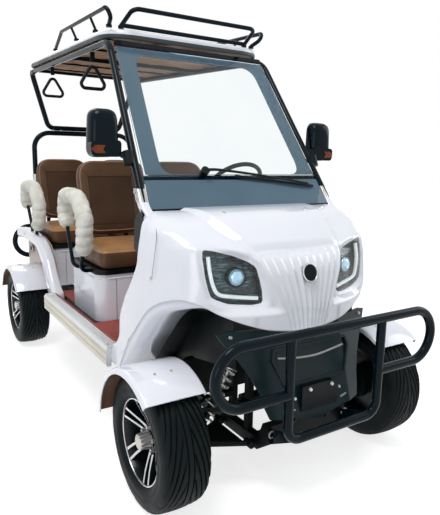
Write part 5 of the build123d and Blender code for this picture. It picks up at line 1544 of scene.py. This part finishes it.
# matching points of the upper and lower edges, Y and Z
QUARTER_TOP = [
    (0.425, 0.44), (0.43, 0.49), (0.48, 0.522), (0.56, 0.602), (0.64, 0.7), (0.76, 0.782), (0.9, 0.82),
    (1.22, 0.83), (1.45, 0.81)
]
QUARTER_LOW = [
    (0.56, 0.432), (0.575, 0.452), (0.6, 0.478), (0.655, 0.55), (0.73, 0.642), (0.82, 0.706), (0.94, 0.738),
    (1.25, 0.745), (1.45, 0.73)
]
for side in (-1, 1):
    upper = smooth_path([(side * 0.524, y, z) for y, z in QUARTER_TOP], 6)
    lower = smooth_path([(side * 0.524, y, z) for y, z in QUARTER_LOW], 6)
    rings = []
    for top_place, low_place in zip(upper, lower):
        middle, half = (top_place + low_place) / 2, (top_place - low_place) / 2
        depth = half.length
        corners = [(-0.036, -depth), (0.036, -depth), (0.036, depth), (-0.036, depth)]
        rings.append(
            [middle + Vector((p.x, 0, 0)) + half.normalized() * p.y for p in rounded(corners, 0.03, 6)]
        )
    quarter = loft(f"rear_quarter_{side}", rings, [white_lacquer], sharp=60)
    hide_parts("rear_quarters")
    wing = [(side * 0.562, 0.56, 0.545), (side * 0.562, 1.2, 0.79)]
    fasteners(f"quarter_screws_{side}", [(place, (side, 0, 0)) for place in wing], 0.008, 0.004, zinc_steel)
    lamp_ring = [
        Vector((side * 0.492, 1.3 + 0.047 * math.cos(t), 0.66 + 0.024 * math.sin(t)))
        for t in [2 * math.pi * k / 40 for k in range(40)]
    ]
    tube(f"marker_ring_{side}", lamp_ring, 0.004, [zinc_steel], sides=8, closed=True)

# Side steps: extruded aluminium with a ribbed silver tread, a champagne side with two grooves and a
# screwed end plate; a red strip closes the joint with the floor mat.

tread_aluminium = finish(
    "tread_aluminium", (0.8, 0.81, 0.82), (0.74, 0.75, 0.76), 0.32, 0.4, 3, 300, 0.01, Metallic=0.35
)
STEP_Y = (-0.697, 0.42)
# X from the middle of the vehicle and Z, round the section from the inner top edge
STEP_SECTION = [(0.556, 0.43), (0.556, 0.5)]
for rib in range(4):
    x = 0.562 + rib * 0.013
    STEP_SECTION += [(x, 0.5), (x + 0.001, 0.504), (x + 0.008, 0.504), (x + 0.009, 0.5)]
STEP_SECTION += [
    (0.615, 0.501), (0.622, 0.497), (0.625, 0.49), (0.625, 0.478), (0.622, 0.476), (0.622, 0.473),
    (0.625, 0.471),
    (0.625, 0.445), (0.622, 0.443), (0.622, 0.44), (0.625, 0.438), (0.625, 0.414), (0.62, 0.408),
    (0.6, 0.408), (0.6, 0.43)
]
for side in (-1, 1):
    rings = [[Vector((side * x, y, z)) for x, z in STEP_SECTION] for y in STEP_Y]
    slots = [0] + [0] * 19 + [1] * (len(STEP_SECTION) - 20)
    step = loft(f"side_step_{side}", rings, [tread_aluminium, champagne], sharp=25, slots=slots)
    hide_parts("side_steps")
    for y in (STEP_Y[0] + 0.03, STEP_Y[1] - 0.03):
        corners = [
            (side * 0.56, y - 0.028), (side * 0.618, y - 0.028), (side * 0.618, y + 0.028),
            (side * 0.56, y + 0.028)
        ]
        outline = rounded(corners, 0.006, 4)
        loft(
            f"step_end_{side}_{y:.2f}", [[(p.x, p.y, z) for p in outline] for z in (0.503, 0.507)],
            [tread_aluminium]
        )
    screws = [((side * x, y, 0.508), (0, 0, 1)) for x in (0.572, 0.606) for y in (-0.667, 0.39)]
    fasteners(f"step_screws_{side}", screws, 0.005, 0.0025, zinc_steel)
    tube(
        f"mat_edge_{side}", [(side * 0.553, STEP_Y[0], 0.5), (side * 0.553, STEP_Y[1], 0.5)], 0.006,
        [red_mat], sides=8
    )

# Door mirrors: rounded black housings on short arms, with an orange repeater arrow in the lower
# outer corner and the mirror glass on the rear face.

repeater_orange = finish(
    "repeater_orange", (0.2, 0.042, 0.001), (0.15, 0.028, 0.001), 0.3, 0.4, 40, 200, 0.1,
    Specular_IOR_Level=0.3
)
mirror_silver = finish(
    "mirror_silver", (0.85, 0.87, 0.88), (0.8, 0.82, 0.83), 0.01, 0.03, 4, 100, 0.005, Metallic=1.0
)
# Y, half width, half height and drop of the housing's middle, from the front dome to the rear rim
MIRROR_RINGS = [
    (-0.741, 0.03, 0.06, 0.004), (-0.737, 0.048, 0.08, 0.002), (-0.727, 0.061, 0.095, 0),
    (-0.71, 0.067, 0.101, 0),
    (-0.69, 0.07, 0.104, 0), (-0.675, 0.07, 0.104, 0), (-0.671, 0.067, 0.101, 0)
]
ARROW = [(-0.047, 0.0), (-0.027, 0.017), (0.017, 0.017), (0.004, 0.0), (0.017, -0.017), (-0.027, -0.017)]
for side in (-1, 1):
    rings = []
    for y, half_x, half_z, drop in MIRROR_RINGS:
        corners = [
            (-half_x, -half_z), (half_x, -half_z * 0.96), (half_x * 0.92, half_z), (-half_x * 0.84, half_z)
        ]
        rings.append(
            [Vector((side * (0.62 - p.x), y, 1.476 + p.y - drop)) for p in rounded(corners, 0.045, 8)]
        )
    housing = loft(f"mirror_housing_{side}", rings, [black_enamel], sharp=50)
    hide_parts("door_mirrors")
    base = [(-0.066, -0.1), (0.066, -0.1), (0.068, -0.028), (-0.07, -0.036)]
    skirt = [
        [Vector((side * (0.62 - p.x), y, 1.476 + p.y)) for p in rounded(base, 0.02, 6)]
        for y in (-0.745, -0.69)
    ]
    loft(f"mirror_skirt_{side}", skirt, [black_enamel], sharp=50)
    outline = rounded([(p[0], p[1]) for p in ARROW], 0.004, 3)
    arrow = [[Vector((side * (0.642 - p.x), y, 1.408 + p.y)) for p in outline] for y in (-0.7485, -0.742)]
    loft(f"mirror_arrow_{side}", arrow, [repeater_orange])
    glass = [(-0.056, -0.088), (0.056, -0.088), (0.054, 0.088), (-0.05, 0.088)]
    pane = [
        [Vector((side * (0.62 - p.x), y, 1.476 + p.y)) for p in rounded(glass, 0.036, 8)]
        for y in (-0.6725, -0.6695)
    ]
    loft(f"mirror_glass_{side}", pane, [mirror_silver])
    arm = smooth_path(
        [
            (side * 0.6, -0.7, 1.43), (side * 0.57, -0.708, 1.405), (side * 0.545, -0.74, 1.382),
            (side * 0.53, -0.765, 1.374)
        ],
        6
    )
    tube(f"mirror_arm_{side}", arm, 0.014, [black_plastic], flat=0.8)
    tube(
        f"mirror_clamp_{side}", [(side * 0.53, -0.775, 1.345), (side * 0.53, -0.755, 1.4)], 0.024,
        [black_plastic], sides=20
    )

# Front apron: a satin moulding with a raised frame and a swept rib, held by bolts, with the blank
# plate on two bolts below.

dark_satin = finish(
    "dark_satin", (0.004, 0.014, 0.017), (0.006, 0.019, 0.022), 0.28, 0.4, 4, 600, 0.03, IOR=1.3
)
dress(dark_satin, "front_apron")
dress(black_plastic, "number_plate")
APRON_Y, APRON_Z, APRON_LEAN = -1.44, 0.473, 0.29  # a point of its face, and how far it leans back
APRON_FLAT, APRON_SWEEP = 0.175, 0.31  # half width of its flat middle, and how far its sides turn back


def on_apron(x, z, out=0.0):
    """A point on the apron's front face, or out in front of it."""
    back = APRON_LEAN * (z - APRON_Z) + APRON_SWEEP * max(abs(x) - APRON_FLAT, 0)
    return Vector((x, APRON_Y + back - out, z))


apron_out = Vector((0, -0.96, 0.28))
RIB = [(-0.176, 0.604), (-0.088, 0.591), (0.018, 0.586), (0.104, 0.594), (0.176, 0.603)]
rib_path = smooth_path([on_apron(x, z, 0.002) for x, z in RIB], 8)
tube("apron_rib", rib_path, 0.0045, [cast_grey], sides=8, flat=0.7)
for side in (-1, 1):
    slot_path = [on_apron(side * 0.123, 0.398, 0.001), on_apron(side * 0.157, 0.406, 0.001)]
    tube(f"apron_slot_{side}", slot_path, 0.004, [cast_grey], sides=8, flat=0.5)
    eye = [
        Vector((side * 0.2, -1.412, 0.29)) + Vector((0.014 * math.cos(a), -0.004, 0.014 * math.sin(a)))
        for a in [math.radians(40 + 280 * k / 20) for k in range(21)]
    ]
    tube(f"tow_hook_{side}", eye, 0.004, [cast_grey], sides=8)
APRON_BOLTS = [(-0.35, 0.695), (0.35, 0.695), (-0.12, 0.44), (0.12, 0.44)]
bolts = [(on_apron(x, z, 0.002), apron_out) for x, z in APRON_BOLTS]
fasteners("apron_bolts", bolts, 0.009, 0.006, zinc_steel, sides=6)
plate_bolts = [((x, -1.472, 0.474), (0, -1, 0)) for x in (-0.058, 0.058)]
fasteners("plate_bolts", plate_bolts, 0.0095, 0.007, zinc_steel, sides=6)

# Seat boxes: the moulded skirts show a panel seam near each corner and a raised band under the tray.

for row, y in enumerate(SEAT_ROWS):
    for side in (-1, 1):
        seam_path = [(side * 0.36, y - 0.0008, z) for z in (0.46, 0.7)]
        tube(f"box_seam_{row}_{side}", seam_path, 0.0016, [cast_grey], sides=6)
    band = [
        (0.4705, y + 0.44), (0.4705, y + 0.07), (0.45, y + 0.02), (0.4, y - 0.0005), (-0.4, y - 0.0005),
        (-0.45, y + 0.02), (-0.4705, y + 0.07), (-0.4705, y + 0.44)
    ]
    tube(f"box_band_{row}", [Vector((x, yy, 0.7)) for x, yy in band], 0.004, [white_lacquer], sides=8)

# Rear hoop: bare steel sleeves join each leg of the lower hoop to its stub, and bolts close the
# lap between the two hoops.

for side in (-1, 1):
    tube(
        f"hoop_sleeve_{side}", [(side * 0.405, 1.42, 1.157), (side * 0.405, 1.42, 1.228)], 0.0225,
        [zinc_steel], sides=24
    )
hoop_bolts = [((x, 1.4, 1.57), (0, -1, 0)) for x in (-0.26, -0.2, 0.2, 0.26)]
fasteners("hoop_bolts", hoop_bolts, 0.008, 0.005, zinc_steel)

# Wheel wells: a flap of the liner's black sheet carries each inner wall down to the floor behind the
# wheel, clear of the wheel at full lock.

LINER_FLAP = [
    (-0.975, 0.52), (-0.967, 0.497), (-0.93, 0.482), (-0.905, 0.47), (-0.88, 0.44), (-0.82, 0.44),
    (-0.822, 0.455), (-0.866, 0.522), (-0.93, 0.59)
]
for side in (-1, 1):
    loft(
        f"liner_flap_{side}", [[(side * x, y, z) for y, z in LINER_FLAP] for x in (0.32, 0.323)],
        [black_plastic]
    )


# Shock absorbers: a black damper inside a bare steel coil spring, held between pressed seats, with a
# rubber-bushed eye at each end. One Geometry Nodes tree winds every spring.

coil_tree = bpy.data.node_groups.new("coil_spring", "GeometryNodeTree")
coil_tree.interface.new_socket(name="Geometry", in_out="INPUT", socket_type="NodeSocketGeometry")
for label, value in (("Coil Radius", 0.027), ("Length", 0.2), ("Turns", 7.0), ("Wire Radius", 0.0055)):
    coil_tree.interface.new_socket(name=label, in_out="INPUT", socket_type=FLOAT).default_value = value
coil_tree.interface.new_socket(name="Finish", in_out="INPUT", socket_type="NodeSocketMaterial")
coil_tree.interface.new_socket(name="Geometry", in_out="OUTPUT", socket_type="NodeSocketGeometry")
given = coil_tree.nodes.new("NodeGroupInput")
made = coil_tree.nodes.new("NodeGroupOutput")
helix = coil_tree.nodes.new("GeometryNodeCurveSpiral")
helix.inputs["Resolution"].default_value = 24
wire_section = coil_tree.nodes.new("GeometryNodeCurvePrimitiveCircle")
wire_section.inputs["Resolution"].default_value = 10
wind = coil_tree.nodes.new("GeometryNodeCurveToMesh")
wind.inputs["Fill Caps"].default_value = True
aim = coil_tree.nodes.new("GeometryNodeInputNamedAttribute")
aim.data_type = "FLOAT_VECTOR"
aim.inputs["Name"].default_value = "aim"
turn_to = coil_tree.nodes.new("FunctionNodeAlignRotationToVector")
turn_to.axis = "Z"
set_on = coil_tree.nodes.new("GeometryNodeInstanceOnPoints")
realize = coil_tree.nodes.new("GeometryNodeRealizeInstances")
paint = coil_tree.nodes.new("GeometryNodeSetMaterial")
smooth = coil_tree.nodes.new("GeometryNodeSetShadeSmooth")
wire = coil_tree.links.new
wire(given.outputs["Coil Radius"], helix.inputs["Start Radius"])
wire(given.outputs["Coil Radius"], helix.inputs["End Radius"])
wire(given.outputs["Length"], helix.inputs["Height"])
wire(given.outputs["Turns"], helix.inputs["Rotations"])
wire(given.outputs["Wire Radius"], wire_section.inputs["Radius"])
wire(helix.outputs["Curve"], wind.inputs["Curve"])
wire(wire_section.outputs["Curve"], wind.inputs["Profile Curve"])
wire(aim.outputs["Attribute"], turn_to.inputs["Vector"])
wire(given.outputs["Geometry"], set_on.inputs["Points"])
wire(wind.outputs["Mesh"], set_on.inputs["Instance"])
wire(turn_to.outputs[0], set_on.inputs["Rotation"])
wire(set_on.outputs[0], realize.inputs[0])
wire(realize.outputs[0], smooth.inputs[0])
wire(smooth.outputs[0], paint.inputs["Geometry"])
wire(given.outputs["Finish"], paint.inputs["Material"])
wire(paint.outputs[0], made.inputs[0])

SPRING_FROM, SPRING_TO = 0.16, 0.79  # share of the way from the upper eye to the lower one
# upper eye and lower eye of the left shock of each axle
SHOCKS = {
    "front_shocks": ((0.228, -1.18, 0.545), (0.408, -1.18, 0.243)),
    "rear_shocks": ((0.4, 1.142, 0.62), (0.42, 1.132, 0.29)),
}
for node, (top, low) in SHOCKS.items():
    for side in (-1, 1):
        upper, lower = Vector((side * top[0], *top[1:])), Vector((side * low[0], *low[1:]))
        run = lower - upper
        along = run.normalized()
        damper = tube(
            f"damper_{node}_{side}", [upper + run * 0.5, lower - along * 0.012], 0.016, [black_enamel],
            sides=24
        )
        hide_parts(node)
        tube(
            f"damper_rod_{node}_{side}", [upper + along * 0.01, upper + run * 0.52], 0.0075, [zinc_steel],
            sides=16
        )
        for end, eye in (("upper", upper), ("lower", lower)):
            across_eye = [eye - Vector((0, 0.018, 0)), eye + Vector((0, 0.018, 0))]
            tube(f"{end}_eye_{node}_{side}", across_eye, 0.016, [black_enamel], sides=24)
        for share in (SPRING_FROM - 0.025, SPRING_TO + 0.005):
            seat_middle = upper + run * share
            tube(
                f"spring_seat_{node}_{side}_{share:.2f}", [seat_middle, seat_middle + along * 0.006], 0.034,
                [zinc_steel], sides=32
            )
        start = new_object(f"spring_{node}_{side}", [upper + run * SPRING_FROM], [])
        direction = start.data.attributes.new("aim", "FLOAT_VECTOR", "POINT")
        direction.data[0].vector = along
        settings = {"Length": run.length * (SPRING_TO - SPRING_FROM), "Finish": zinc_steel}
        run_tree(coil_tree, f"spring_{node}_{side}", start, settings, "chassis")
